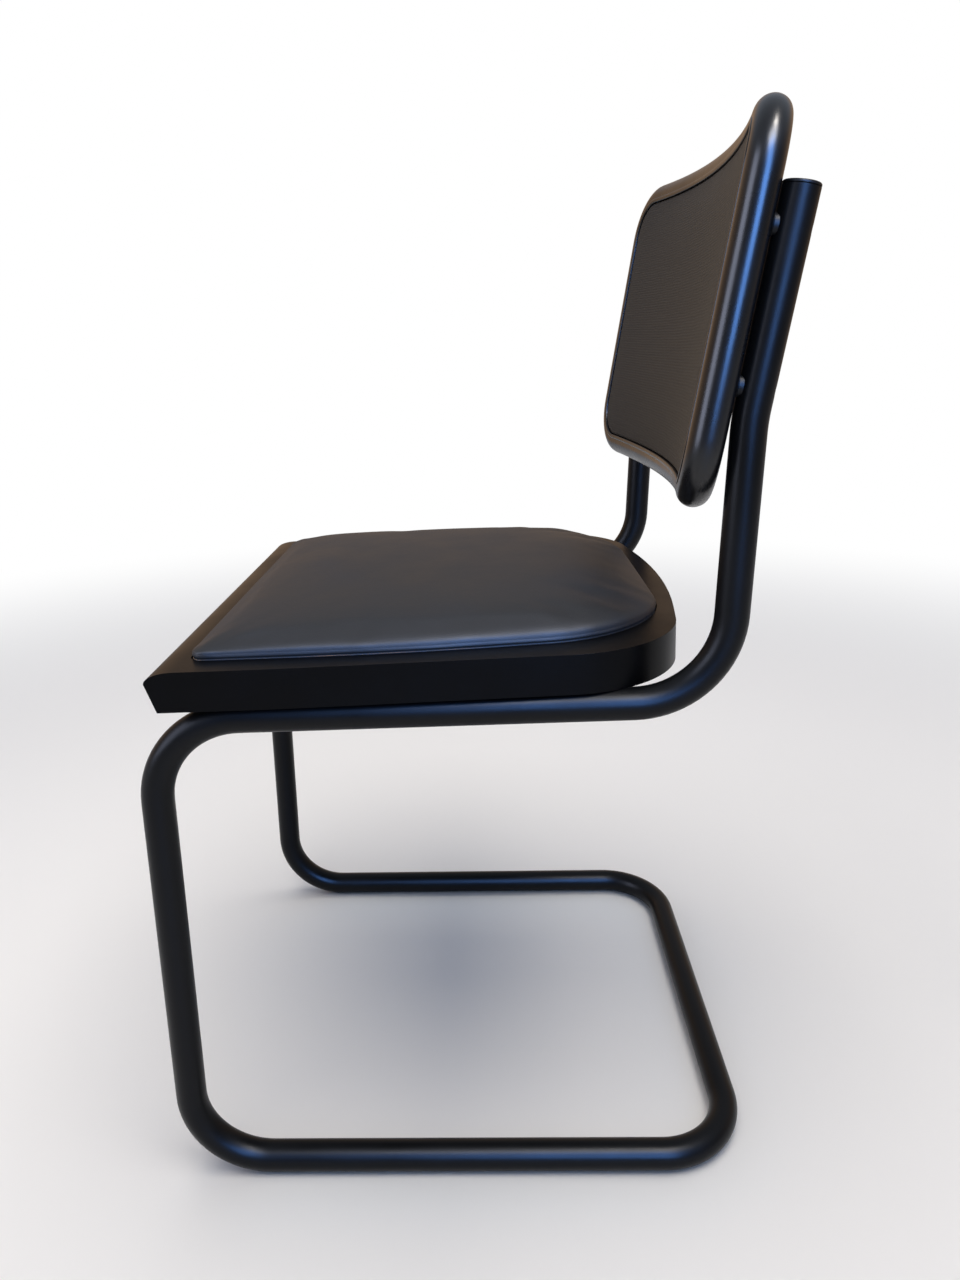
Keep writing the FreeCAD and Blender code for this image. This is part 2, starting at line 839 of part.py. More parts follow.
def seat_nodes():
    place = seat_placement()
    frame = drilled_seat_frame()
    foam = seat_foam()
    screw = machine_screw(tube_diameter - screw_head_sink + screw_engagement)
    insert = thread_insert(insert_length_seat)
    small = [at_spot(board_screw(), spot + vec(0, 0, board_screw_sink)) for spot in board_screw_spots()]
    nodes = {
        "seat_front_rail": frame.common(front_rail_block()),
        "seat_bent_rail": frame.cut(front_rail_block()),
        "seat_rail_dowels": group(seat_dowels(0)),
        "seat_board": seat_board(),
        "seat_foam": foam,
        "seat_cover": seat_cover(foam),
        "seat_board_screws": group(small),
        "seat_inserts": group([at_spot(insert, spot) for spot in seat_screw_spots()]),
        "seat_screws": group([at_spot(screw, head) for head in seat_screw_heads()]),
    }
    return {name: placed(shape, place) for name, shape in nodes.items()}


def back_nodes():
    place = back_placement()
    core = panel_core(core_inset(), panel_cover_thickness)
    rear_foam = back_rear_foam()
    insert = thread_insert(insert_length_back)
    screw = machine_screw(tube_diameter - screw_head_sink + pocket_floor_gap + insert_length_back)
    nodes = {
        "back_upper_bend": back_half(True),
        "back_lower_bend": back_half(False),
        "back_frame_dowels": group(back_dowels(0)),
        "back_board": back_board(),
        "back_front_foam": core.cut(curved_plate(board_front(), 3 * back_thickness)),
        "back_front_cover": back_front_cover(core),
        "back_rear_foam": rear_foam,
        "back_rear_cover": back_rear_cover(rear_foam),
        "back_washers": group(back_washers()),
        "back_spacers": group(back_spacers()),
        "back_inserts": group([turned_forward(insert, floor) for floor in pocket_floors()]),
        "back_screws": group([turned_forward(screw, head) for head in back_screw_heads()]),
    }
    return {name: placed(shape, place) for name, shape in nodes.items()}


def main():
    nodes = {
        "tube_frame": tube_frame(),
        "end_plug_left": end_plug(-1),
        "end_plug_right": end_plug(1),
    }
    nodes.update(seat_nodes())
    nodes.update(back_nodes())
    os.makedirs("parts", exist_ok=True)
    for name, shape in nodes.items():
        shape.exportStep("parts/" + name + ".step")
        print(name, len(shape.Solids), "solids", round(shape.Volume / 1000, 2), "cm3", shape.isValid())


main()
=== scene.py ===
# %% [markdown]
# # A cantilever dining chair
#
# One steel tube is bent into runners, front legs, seat rails and uprights. It carries a padded seat in a
# black wooden frame, and a curved upholstered back in a rounded, glossier frame.
# The CAD model holds the sizes and the hidden parts. This script gives every visible surface its finish,
# and builds smoother, softer versions of the pieces that show.
#
# The front of the chair faces -Y, Z is up, and the camera stands on the +X side.

# %% Load the CAD frame
import math
import bpy
import bmesh
from mathutils import Matrix, Vector
from mathutils.kdtree import KDTree


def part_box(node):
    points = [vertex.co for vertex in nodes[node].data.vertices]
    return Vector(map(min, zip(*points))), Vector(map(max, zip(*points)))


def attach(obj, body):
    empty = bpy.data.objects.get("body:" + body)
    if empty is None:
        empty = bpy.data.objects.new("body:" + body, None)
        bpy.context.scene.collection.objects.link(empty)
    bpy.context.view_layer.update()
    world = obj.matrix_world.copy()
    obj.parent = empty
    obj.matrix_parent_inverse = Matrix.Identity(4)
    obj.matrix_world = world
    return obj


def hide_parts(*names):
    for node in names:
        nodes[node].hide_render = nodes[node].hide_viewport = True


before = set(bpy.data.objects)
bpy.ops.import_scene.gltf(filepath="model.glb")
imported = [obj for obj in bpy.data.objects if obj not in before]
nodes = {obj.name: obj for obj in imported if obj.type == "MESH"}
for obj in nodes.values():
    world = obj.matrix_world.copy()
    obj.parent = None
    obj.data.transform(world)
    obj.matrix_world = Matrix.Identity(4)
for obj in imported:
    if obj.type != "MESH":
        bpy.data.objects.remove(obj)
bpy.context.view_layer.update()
print("CAD nodes:", len(nodes))

# %% [markdown]
# ## Colours
#
# A colour is easiest to judge as the sRGB hex value that a paint chart or a screen shows. Blender's shaders
# work in linear light, so one function turns the hex value to linear before any shader sees it.

# %% Hex colours to linear light
def linear(part):
    return part / 12.92 if part <= 0.04045 else ((part + 0.055) / 1.055) ** 2.4


def colour(code):
    parts = [int(code[i:i + 2], 16) / 255 for i in (1, 3, 5)]
    return (*[linear(part) for part in parts], 1.0)


# %% [markdown]
# ## A helper for nodes
#
# Every material and every Geometry Nodes tree here is a handful of nodes. One function adds a node, sets its
# options and fills its inputs. An input is either a plain value or another node's output, which gets linked.

# %% Add one node
def add(tree, kind, inputs=None, **options):
    made = tree.nodes.new(kind)
    for name, value in options.items():
        setattr(made, name, value)
    for name, value in (inputs or {}).items():
        if isinstance(value, bpy.types.NodeSocket):
            tree.links.new(value, made.inputs[name])
        else:
            made.inputs[name].default_value = value
    return made


# %% A material with one main shader
def start_material(name, **values):
    """A new material, its node tree and its Principled shader with the named inputs set."""
    material = bpy.data.materials.new(name)
    material.use_nodes = True
    tree = material.node_tree
    tree.nodes.clear()
    shader = add(tree, "ShaderNodeBsdfPrincipled")
    for key, value in values.items():
        shader.inputs[key.replace("_", " ")].default_value = value
    add(tree, "ShaderNodeOutputMaterial", {"Surface": shader.outputs[0]})
    return material, tree, shader


def object_point(tree, along="", ratio=1.0):
    """The surface point in metres from the chair's origin, drawn out along an axis where grain runs."""
    place = add(tree, "ShaderNodeTexCoord")
    scale = [ratio if axis == along else 1.0 for axis in "XYZ"]
    return add(tree, "ShaderNodeMapping", {"Vector": place.outputs["Object"], "Scale": scale}).outputs[0]


def per_metre(size_mm):
    """A noise scale whose features are about this size."""
    return 1000 / size_mm


def noise_relief(tree, shader, point, size_mm, detail, strength, depth_mm, distortion=0.0):
    """Press bumps of about one size into the surface, and return their height pattern."""
    pattern = add(tree, "ShaderNodeTexNoise", {
        "Vector": point, "Scale": per_metre(size_mm), "Detail": detail, "Distortion": distortion})
    bump = add(tree, "ShaderNodeBump", {
        "Height": pattern.outputs["Fac"], "Strength": strength, "Distance": depth_mm / 1000})
    tree.links.new(bump.outputs[0], shader.inputs["Normal"])
    return pattern.outputs["Fac"]


def uneven_gloss(tree, shader, point, patch_mm, detail, low, high):
    """Let the roughness drift between two values, in soft patches of about one size."""
    patches = add(tree, "ShaderNodeTexNoise", {
        "Vector": point, "Scale": per_metre(patch_mm), "Detail": detail})
    rough = add(tree, "ShaderNodeMapRange", {
        "Value": patches.outputs["Fac"], "From Min": 0.3, "From Max": 0.7, "To Min": low, "To Max": high})
    tree.links.new(rough.outputs[0], shader.inputs["Roughness"])


# The Mix node has sockets for several kinds of data, and these are the numbers of the colour ones.
LOW, HIGH, MIXED = 6, 7, 2


# %% [markdown]
# ## Powder-coated steel
#
# The tube is steel under a satin black powder coat. Powder melts into a skin that is nearly flat but keeps
# a faint orange peel, with swells about a millimetre across. Light spreads along the tube in soft bluish
# streaks, so the roughness sits between gloss and matte, and wanders a little where hands rub the coat.

# %% Satin black powder coat
def powder_coat():
    material, tree, shader = start_material(
        "powder_coated_steel", Base_Color=colour("#0d0e10"), Roughness=0.34, IOR=1.5,
        Specular_IOR_Level=0.14)
    point = object_point(tree)
    noise_relief(tree, shader, point, size_mm=1.4, detail=2.0, strength=0.09, depth_mm=0.4)
    uneven_gloss(tree, shader, point, patch_mm=60, detail=3.0, low=0.30, high=0.40)
    return material


# %% [markdown]
# ## Lacquered beech
#
# Both wooden frames are beech under black lacquer. The seat frame is satin, and the back frame is rubbed
# to a higher gloss. Beech has short fine pores that the lacquer almost fills, so a stretched noise gives a
# very slight relief along the piece, and a slow noise lets the sheen vary as it does on sprayed wood.

# %% Black lacquer, satin or glossy
def lacquer(name, base, low_rough, high_rough, shine, along):
    material, tree, shader = start_material(
        name, Base_Color=colour(base), Roughness=low_rough, IOR=1.5, Specular_IOR_Level=shine)
    pore_length = 14.0
    pore_width = 0.7
    grain = object_point(tree, along, pore_width / pore_length)
    noise_relief(tree, shader, grain, size_mm=pore_width, detail=3.0, strength=0.05, depth_mm=0.3)
    uneven_gloss(tree, shader, object_point(tree), patch_mm=45, detail=4.0, low=low_rough, high=high_rough)
    return material


# %% [markdown]
# ## Leatherette
#
# The seat is covered in black leatherette: cloth with a soft plastic face, embossed with a fine pebble
# grain. A Voronoi pattern is close to that grain, with cells of about a millimetre. They are drawn a little
# larger than life so that they show from a metre away. The face reflects the room as a wide dull sheen.

# %% Black leatherette with a pebble grain
def leatherette():
    material, tree, shader = start_material(
        "leatherette", Base_Color=colour("#1c1b19"), Roughness=0.56, IOR=1.48, Specular_IOR_Level=0.42)
    point = object_point(tree)
    warp_reach = 0.0012
    warp = add(tree, "ShaderNodeTexNoise", {"Vector": point, "Scale": per_metre(3.0), "Detail": 2.0})
    bent = add(tree, "ShaderNodeVectorMath", {0: warp.outputs["Color"], 1: (warp_reach,) * 3, 2: point},
               operation="MULTIPLY_ADD")
    pebbles = add(tree, "ShaderNodeTexVoronoi", {"Vector": bent.outputs[0], "Scale": per_metre(1.3)},
                  feature="SMOOTH_F1")
    creases = add(tree, "ShaderNodeTexNoise", {"Vector": point, "Scale": per_metre(9.0), "Detail": 5.0})
    height = add(tree, "ShaderNodeMath", {0: pebbles.outputs["Distance"], 1: creases.outputs["Fac"]},
                 operation="ADD")
    bump = add(tree, "ShaderNodeBump", {"Height": height.outputs[0], "Strength": 0.16, "Distance": 0.0005})
    tree.links.new(bump.outputs[0], shader.inputs["Normal"])
    uneven_gloss(tree, shader, point, patch_mm=70, detail=4.0, low=0.51, high=0.61)
    return material


# %% [markdown]
# ## Ribbed upholstery fabric
#
# The back is covered in a hard-wearing fabric with fine ribs that run across it, over thin vertical threads.
# The real ribs are about 1.7 mm apart and are drawn a little coarser, so that they show. They follow the
# piece's own UV map, which is the flat cloth in metres, so they stay level round the curve. The black cloth
# is painted dark grey on the rib tops and darker in the hollows, as painted shade, and has a warm brown sheen
# at a slant.

# %% Black ribbed fabric
def ribbed_fabric():
    material, tree, shader = start_material(
        "ribbed_fabric", Roughness=0.8, IOR=1.45, Specular_IOR_Level=0.3, Sheen_Weight=0.14,
        Sheen_Roughness=0.4, Sheen_Tint=colour("#b09a7c"))
    rib_pitch = 2.4
    thread_pitch = 1.2
    thread_share = 0.35
    wander = 0.0012
    tallest = 1.3
    place = add(tree, "ShaderNodeUVMap")
    flat = add(tree, "ShaderNodeSeparateXYZ", {"Vector": place.outputs["UV"]})
    wobble = add(tree, "ShaderNodeTexNoise", {
        "Vector": place.outputs["UV"], "Scale": per_metre(25), "Detail": 2.0})
    level = add(tree, "ShaderNodeMath", {0: wobble.outputs["Fac"], 1: wander, 2: flat.outputs["Y"]},
                operation="MULTIPLY_ADD")

    def waves(across, pitch):
        """Crests one pitch apart."""
        angle = add(tree, "ShaderNodeMath", {0: across, 1: 2 * math.pi * per_metre(pitch)},
                    operation="MULTIPLY")
        return add(tree, "ShaderNodeMath", {0: angle.outputs[0]}, operation="SINE").outputs[0]

    ribs = waves(level.outputs[0], rib_pitch)
    threads = waves(flat.outputs["X"], thread_pitch)
    weave = add(tree, "ShaderNodeMath", {0: threads, 1: thread_share, 2: ribs}, operation="MULTIPLY_ADD")
    # Painted shade: the colour is lighter on the rib tops and darker in the hollows, following the weave's
    # height.
    tone = add(tree, "ShaderNodeMapRange", {
        "Value": weave.outputs[0], "From Min": -tallest, "From Max": tallest})
    yarn_with_painted_rib_shade = add(tree, "ShaderNodeMix", {
        0: tone.outputs[0], LOW: colour("#141413"), HIGH: colour("#272623")}, data_type="RGBA")
    tree.links.new(yarn_with_painted_rib_shade.outputs[MIXED], shader.inputs["Base Color"])
    bump = add(tree, "ShaderNodeBump", {"Height": weave.outputs[0], "Strength": 0.15, "Distance": 0.0003})
    tree.links.new(bump.outputs[0], shader.inputs["Normal"])
    return material


# %% [markdown]
# ## Plywood, bare beech and small metal
#
# From below, the plywood seat board shows in the frame's opening, held by zinc plated screws. The screws
# through the tube are black, their inserts are brass, and dark steel washers show at the stiles. These
# need less, but each still gets the grain, tool marks or wear of the real thing.

# %% Veneer and bare beech
def bare_wood(name, light, dark, along, ring_mm):
    material, tree, shader = start_material(name, Roughness=0.6, IOR=1.5)
    grain_ratio = 0.06
    grain = noise_relief(tree, shader, object_point(tree, along, grain_ratio), size_mm=ring_mm, detail=6.0,
                         strength=0.2, depth_mm=0.3, distortion=0.6)
    tone = add(tree, "ShaderNodeMix", {0: grain, LOW: colour(dark), HIGH: colour(light)}, data_type="RGBA")
    tree.links.new(tone.outputs[MIXED], shader.inputs["Base Color"])
    return material


# %% Small metal and plastic
def small_part(name, base, metallic, roughness, mark_mm, shine=0.5):
    material, tree, shader = start_material(
        name, Base_Color=colour(base), Metallic=metallic, Roughness=roughness, Specular_IOR_Level=shine)
    marks = noise_relief(tree, shader, object_point(tree), size_mm=mark_mm, detail=3.0, strength=0.12,
                         depth_mm=0.2)
    polished, worn = 0.06, 0.08
    wear = add(tree, "ShaderNodeMapRange", {
        "Value": marks, "To Min": roughness - polished, "To Max": roughness + worn})
    tree.links.new(wear.outputs[0], shader.inputs["Roughness"])
    return material


finish = {
    "powder_coat": powder_coat(),
    "seat_lacquer": lacquer("satin_black_lacquer", "#050506", 0.28, 0.36, 0.08, "X"),
    "seat_lacquer_bent": lacquer("satin_black_lacquer_bent", "#050506", 0.28, 0.36, 0.08, "Y"),
    "back_lacquer": lacquer("gloss_black_lacquer", "#0a0a0c", 0.25, 0.31, 0.42, "Z"),
    "leatherette": leatherette(),
    "fabric": ribbed_fabric(),
    "plywood": bare_wood("birch_plywood", "#c9a06c", "#9b7242", "Y", 4.0),
    "beech": bare_wood("bare_beech", "#cfa27a", "#a87a52", "Y", 1.5),
    "plastic": small_part("moulded_plug_plastic", "#0f0f10", 0.0, 0.42, 0.7, 0.2),
    "black_screw": small_part("black_oxide_steel", "#1a1a1b", 1.0, 0.38, 0.5),
    "zinc": small_part("zinc_plated_steel", "#b9b9b2", 1.0, 0.35, 0.6),
    "brass": small_part("turned_brass", "#c8a052", 1.0, 0.3, 0.6),
    "dark_steel": small_part("darkened_steel", "#0e0f10", 1.0, 0.45, 0.5),
}
print("materials:", len(finish))

# %% [markdown]
# ## From rings of points to a mesh
#
# Most pieces of this chair are a skin over a row of closed rings: a plug, half a back frame, a pad. Their
# sizes are in millimetres, as a joiner would write them, and turn to metres where the mesh is made.
# Rings keep the faces four-sided and evenly spaced, which glossy surfaces need to reflect cleanly.

# %% Skin a row of rings
MM = 0.001
SAME_PLACE = 0.01


def into_scene(name, data):
    """A new object at the origin that holds the data."""
    made = bpy.data.objects.new(name, data)
    bpy.context.scene.collection.objects.link(made)
    return made


def twin(piece, name):
    """A copy of the piece with a mesh of its own."""
    return into_scene(name, piece.data.copy())


def piece_from_mesh(name, shape, material):
    """Close doubles, point all faces outwards and make an object."""
    bmesh.ops.remove_doubles(shape, verts=shape.verts, dist=SAME_PLACE * MM)
    bmesh.ops.recalc_face_normals(shape, faces=shape.faces)
    mesh = bpy.data.meshes.new(name)
    shape.to_mesh(mesh)
    shape.free()
    mesh.materials.append(material)
    mesh.shade_smooth()
    return into_scene(name, mesh)


def skin(name, rings, material, flat_uv=None):
    """A closed skin over rings of points in millimetres, with a cap on the first and the last ring."""
    shape = bmesh.new()
    uv = shape.loops.layers.uv.new("UVMap") if flat_uv else None
    rows = [[shape.verts.new(Vector(point) * MM) for point in ring] for ring in rings]
    count = len(rings[0])

    def add_face(corners):
        """One face over its corners' (row, place), with their spots on the flat cloth."""
        face = shape.faces.new([rows[i][j] for i, j in corners])
        if uv:
            for loop, (i, j) in zip(face.loops, corners):
                loop[uv].uv = flat_uv[i][j]

    for i in range(len(rows) - 1):
        for j in range(count):
            k = (j + 1) % count
            add_face([(i, j), (i, k), (i + 1, k), (i + 1, j)])
    for i in (0, len(rows) - 1):
        add_face([(i, j) for j in range(count)])
    return piece_from_mesh(name, shape, material)


# %% [markdown]
# ## Finishing a mesh
#
# Booleans and bevels are modifiers while they are tried, and plain mesh once they are right. The evaluated
# mesh is copied and the modifiers go. Edges sharper than a limit are marked, so flat faces stay flat.

# %% Apply modifiers and mark sharp edges
def mark_sharp(piece, degrees):
    """Smooth the faces, and keep an edge sharp where its faces turn by more than the angle."""
    piece.data.shade_smooth()
    piece.data.set_sharp_from_angle(angle=math.radians(degrees))


def settle(piece, sharp_degrees=None):
    """Turn the modifiers' result into the piece's own mesh."""
    graph = bpy.context.evaluated_depsgraph_get()
    mesh = bpy.data.meshes.new_from_object(piece.evaluated_get(graph), depsgraph=graph)
    old = piece.data
    piece.modifiers.clear()
    piece.data = mesh
    bpy.data.meshes.remove(old)
    if sharp_degrees:
        mark_sharp(piece, sharp_degrees)


def carve(piece, tool, operation):
    """Cut the piece with a tool, or keep what both share, and throw the tool away."""
    step = piece.modifiers.new("carve", "BOOLEAN")
    step.operation = operation
    step.solver = "EXACT"
    step.object = tool
    settle(piece)
    bpy.data.objects.remove(tool)


def soften(piece, width, limit_degrees):
    """Round the sharp edges as sandpaper does, and let the flat faces keep flat reflections."""
    bevel = piece.modifiers.new("soften", "BEVEL")
    bevel.width = width * MM
    bevel.segments = 3
    bevel.limit_method = "ANGLE"
    bevel.angle_limit = math.radians(limit_degrees)
    settle(piece)


def flatten_reflections(piece, sharp_degrees):
    """Let the large faces rule how light runs over the small ones beside them."""
    settle(piece, sharp_degrees)
    weighted = piece.modifiers.new("flat faces", "WEIGHTED_NORMAL")
    weighted.keep_sharp = True
    weighted.weight = 100
    settle(piece)


# %% [markdown]
# ## The bent tube
#
# The frame is one tube of 25 mm, and its whole shape is a rule: straight runs through a few corner points,
# each corner rounded by a bend. Geometry Nodes follow that rule. The corner points are a loose line of
# edges, Fillet Curve makes the bends from a radius stored at each point, and Curve to Mesh sweeps a
# circle along the result. The corner points come from the side view: heights, lengths and leans.

# %% Corner points of the tube
TUBE_RADIUS = 12.5
TUBE_WALL = 2.0
tube_low, tube_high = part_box("tube_frame")
half_spacing = tube_high.x / MM - TUBE_RADIUS
base_front = tube_low.y / MM
base_rear = tube_high.y / MM

BASE_BEND = 65.5
SEAT_BEND = 70.0
KINK_BEND = 150.0
RAIL_HEIGHT = 422.0
RAIL_LENGTH = 431.0
SEAT_TILT = math.radians(1.12)
FRONT_LEAN = math.radians(0.48)
LOWER_LEAN = math.radians(1.85)
BACK_LEAN = math.radians(9.38)
KINK_HEIGHT = 634.9
UPRIGHT_HEIGHT = 781.4


def side_corners():
    """Corners of the tube in the side view as (y, z), from the crossbar to the top of an upright."""
    widest = BASE_BEND * (1 + math.sin(FRONT_LEAN)) / math.cos(FRONT_LEAN)
    foot = base_front + TUBE_RADIUS + BASE_BEND - widest
    front_top = foot + (RAIL_HEIGHT - TUBE_RADIUS) * math.tan(FRONT_LEAN)
    rail_rear = front_top + RAIL_LENGTH * math.cos(SEAT_TILT)
    rear_height = RAIL_HEIGHT + RAIL_LENGTH * math.sin(SEAT_TILT)
    kink = rail_rear + (KINK_HEIGHT - rear_height) * math.tan(LOWER_LEAN)
    top = kink + (UPRIGHT_HEIGHT - KINK_HEIGHT) * math.tan(BACK_LEAN)
    return [
        (base_rear - TUBE_RADIUS, TUBE_RADIUS), (foot, TUBE_RADIUS), (front_top, RAIL_HEIGHT),
        (rail_rear, rear_height), (kink, KINK_HEIGHT), (top, UPRIGHT_HEIGHT)]


side = side_corners()
SEAT_SETBACK = 7.2
SEAT_SCREW_DEPTHS = (80.0, 281.0)
BACK_SCREWS_UP = (21.0, 123.5)
LOOP = 10.0


def on_run(corner, distances, steps=(0.0,)):
    """Points (y, z) at distances along the straight run from a corner to the next one."""
    start, end = Vector(side[corner]), Vector(side[corner + 1])
    way = (end - start).normalized()
    return [tuple(start + way * (distance + step)) for distance in distances for step in steps]


seat_screws_along = [SEAT_SETBACK + depth for depth in SEAT_SCREW_DEPTHS]
seat_screws = on_run(2, seat_screws_along)
back_screws = on_run(4, BACK_SCREWS_UP)
rail_loops = on_run(2, seat_screws_along, (-LOOP, LOOP))
upright_loops = on_run(4, BACK_SCREWS_UP, (-LOOP, LOOP))
stops = side[:3] + rail_loops + side[3:5] + upright_loops + side[5:]
bends_up = [BASE_BEND, BASE_BEND, SEAT_BEND] + [0.0] * len(rail_loops) + [SEAT_BEND, KINK_BEND]
bends_up += [0.0] * (len(stops) - len(bends_up))
route = [(-half_spacing, y, z) for y, z in reversed(stops)] + [(half_spacing, y, z) for y, z in stops]
bends = bends_up[::-1] + bends_up
print("tube corners:", len(route))

# %% A Geometry Nodes tree for bent tube
def bent_tube_tree():
    tree = bpy.data.node_groups.new("bent tube", "GeometryNodeTree")
    for label, kind in (("Geometry", "Geometry"), ("Tube radius", "Float"), ("Steps in a bend", "Int"),
                        ("Sides", "Int"), ("Finish", "Material")):
        tree.interface.new_socket(label, in_out="INPUT", socket_type="NodeSocket" + kind)
    tree.interface.new_socket("Geometry", in_out="OUTPUT", socket_type="NodeSocketGeometry")
    given = add(tree, "NodeGroupInput")
    line = add(tree, "GeometryNodeMeshToCurve", {"Mesh": given.outputs["Geometry"]})
    radius = add(tree, "GeometryNodeInputNamedAttribute", {"Name": "bend_radius"}, data_type="FLOAT")
    bent = add(tree, "GeometryNodeFilletCurve", {
        "Curve": line.outputs["Curve"], "Count": given.outputs["Steps in a bend"],
        "Radius": radius.outputs["Attribute"]}, mode="POLY")
    circle = add(tree, "GeometryNodeCurvePrimitiveCircle", {
        "Resolution": given.outputs["Sides"], "Radius": given.outputs["Tube radius"]})
    swept = add(tree, "GeometryNodeCurveToMesh", {
        "Curve": bent.outputs["Curve"], "Profile Curve": circle.outputs["Curve"]})
    real = add(tree, "GeometryNodeRealizeInstances", {"Geometry": swept.outputs["Mesh"]})
    coated = add(tree, "GeometryNodeSetMaterial", {
        "Geometry": real.outputs["Geometry"], "Material": given.outputs["Finish"]})
    add(tree, "NodeGroupOutput", {"Geometry": coated.outputs["Geometry"]})
    return tree


def run_tree(piece, tree, values):
    """Add the tree as a modifier and set its inputs by the identifiers of its named sockets."""
    modifier = piece.modifiers.new(tree.name, "NODES")
    modifier.node_group = tree
    for item in tree.interface.items_tree:
        if item.in_out == "INPUT" and item.name in values:
            modifier[item.identifier] = values[item.name]


# %% Sweep the tube
line = bpy.data.meshes.new("bent_tube")
line.from_pydata([Vector(p) * MM for p in route], [(i, i + 1) for i in range(len(route) - 1)], [])
tube = into_scene("bent_tube", line)
radii = line.attributes.new("bend_radius", "FLOAT", "POINT")
radii.data.foreach_set("value", [radius * MM for radius in bends])
run_tree(tube, bent_tube_tree(), {
    "Tube radius": TUBE_RADIUS * MM, "Steps in a bend": 20, "Sides": 56, "Finish": finish["powder_coat"]})
settle(tube)
wall = tube.modifiers.new("wall", "SOLIDIFY")
wall.thickness = TUBE_WALL * MM
wall.offset = -1
settle(tube)

# %% [markdown]
# The screws pass through both walls, and each head lies in a seat sunk into the tube. The cutter is a turned
# shape, and the extra corners in the route keep its cuts inside a short strip of faces.

# %% Turned shapes, and the screws' seats in the tube
def circle_ring(radius, height, count=48):
    step = 2 * math.pi / count
    return [(radius * math.cos(i * step), radius * math.sin(i * step), height) for i in range(count)]


def turned(name, profile, material):
    """A shape turned about the z axis from its (radius, height) profile."""
    return skin(name, [circle_ring(radius, height) for radius, height in profile], material)


HEAD_SINK = 1.2
HEAD_RADIUS = 5.55
HOLE_RADIUS = 3.25
CUT_PAST = 1.0


def sink_screw(x, spot, lean):
    """Cut one screw's hole and head seat; at no lean, the head faces down."""
    cutter = turned("cutter", [
        (HEAD_RADIUS, -HEAD_SINK - CUT_PAST), (HEAD_RADIUS, 0), (HOLE_RADIUS, HEAD_RADIUS - HOLE_RADIUS),
        (HOLE_RADIUS, 2 * TUBE_RADIUS + CUT_PAST)], finish["powder_coat"])
    cutter.data.transform(Matrix.Translation(Vector((0, 0, HEAD_SINK - TUBE_RADIUS)) * MM))
    cutter.data.transform(Matrix.Translation(Vector((x, *spot)) * MM) @ Matrix.Rotation(lean, 4, "X"))
    carve(tube, cutter, "DIFFERENCE")


for x in (-half_spacing, half_spacing):
    for spot in seat_screws:
        sink_screw(x, spot, SEAT_TILT)
    for spot in back_screws:
        sink_screw(x, spot, math.pi / 2 - BACK_LEAN)
settle(tube, sharp_degrees=35)
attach(tube, "root")
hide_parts("tube_frame")
print("tube faces:", len(tube.data.polygons))

# %% [markdown]
# ## Where the seat and the back sit
#
# The seat is easiest to draw flat, with its nose at y = 0 and its underside at z = 0, and the back upright,
# with z running up its lean from the kink of the uprights. Two matrices then put them on the tube.

# %% Local frames of the seat and the back
front_y, front_z = side[2]
seat_base = Vector((
    0,
    front_y + SEAT_SETBACK * math.cos(SEAT_TILT) - TUBE_RADIUS * math.sin(SEAT_TILT),
    front_z + SEAT_SETBACK * math.sin(SEAT_TILT) + TUBE_RADIUS * math.cos(SEAT_TILT)))
seat_place = Matrix.Translation(seat_base * MM) @ Matrix.Rotation(SEAT_TILT, 4, "X")
back_place = Matrix.Translation(Vector((0, *side[4])) * MM) @ Matrix.Rotation(-BACK_LEAN, 4, "X")
print("height of the seat's underside at its nose, in mm:", round(seat_base.z, 1))


def put(piece, place, node, slot, *more_nodes):
    """Move a piece's mesh to its place, hang it under the root body, and hide the CAD nodes it replaces."""
    piece.data.transform(place)
    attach(piece, "root")
    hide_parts(node, *more_nodes)


# %% [markdown]
# ## End plugs
#
# A plastic plug closes each upright: a low disc with a rounded rim, over a stem that grips the bore. A fine
# dark line shows between disc and tube, so the disc's underside is drawn in a little.

# %% The two plugs
PLUG_CAP = 2.6
PLUG_ROUND = 1.2
PLUG_GAP = 0.35
PLUG_STEM = 16.0
PLUG_FIT = 0.15
PLUG_LEAD = 1.0
PLUG_BEVEL_IN = 0.5
PLUG_BEVEL_UP = 0.3
PLUG_DOME = 0.2
PLUG_TIP = 1.0
stem_radius = TUBE_RADIUS - TUBE_WALL - PLUG_FIT
rim_radius = TUBE_RADIUS - PLUG_ROUND
rim_height = PLUG_CAP - PLUG_ROUND
cap_round = [
    (rim_radius + PLUG_ROUND * math.cos(angle), rim_height + PLUG_ROUND * math.sin(angle))
    for angle in (0, 0.4, 0.8, 1.2, math.pi / 2)
]
plug_profile = [(stem_radius - PLUG_LEAD, -PLUG_STEM), (stem_radius, PLUG_LEAD - PLUG_STEM)]
plug_profile += [(stem_radius, PLUG_GAP), (TUBE_RADIUS - PLUG_BEVEL_IN, PLUG_GAP)]
plug_profile += [(TUBE_RADIUS, PLUG_GAP + PLUG_BEVEL_UP)] + cap_round
plug_profile += [(TUBE_RADIUS / 2, PLUG_CAP + 0.75 * PLUG_DOME), (PLUG_TIP, PLUG_CAP + PLUG_DOME)]

top_y, top_z = side[5]
for word, sign in (("left", -1), ("right", 1)):
    plug = turned("end_plug_" + word + "_cap", plug_profile, finish["plastic"])
    place = Matrix.Translation(Vector((sign * half_spacing, top_y, top_z)) * MM)
    put(plug, place @ Matrix.Rotation(-BACK_LEAN, 4, "X"), "end_plug_" + word, "plug_plastic")
    mark_sharp(plug, degrees=50)
    print(plug.name, "faces:", len(plug.data.polygons))

# %% [markdown]
# ## Outlines with rounded corners
#
# Seen from above, the seat frame and its pad are nearly straight runs joined by arcs. One function rounds
# the corners of an outline, and another spreads points evenly along it, each with its outward direction.

# %% Round an outline and space points along it
# Of a side, an arc takes just under half at most, so that two arcs never meet.
SIDE_SHARE = 0.495


def sweep(turn, steps):
    """Evenly spaced angles from zero to the turn, with both ends."""
    return [turn * k / steps for k in range(steps + 1)]


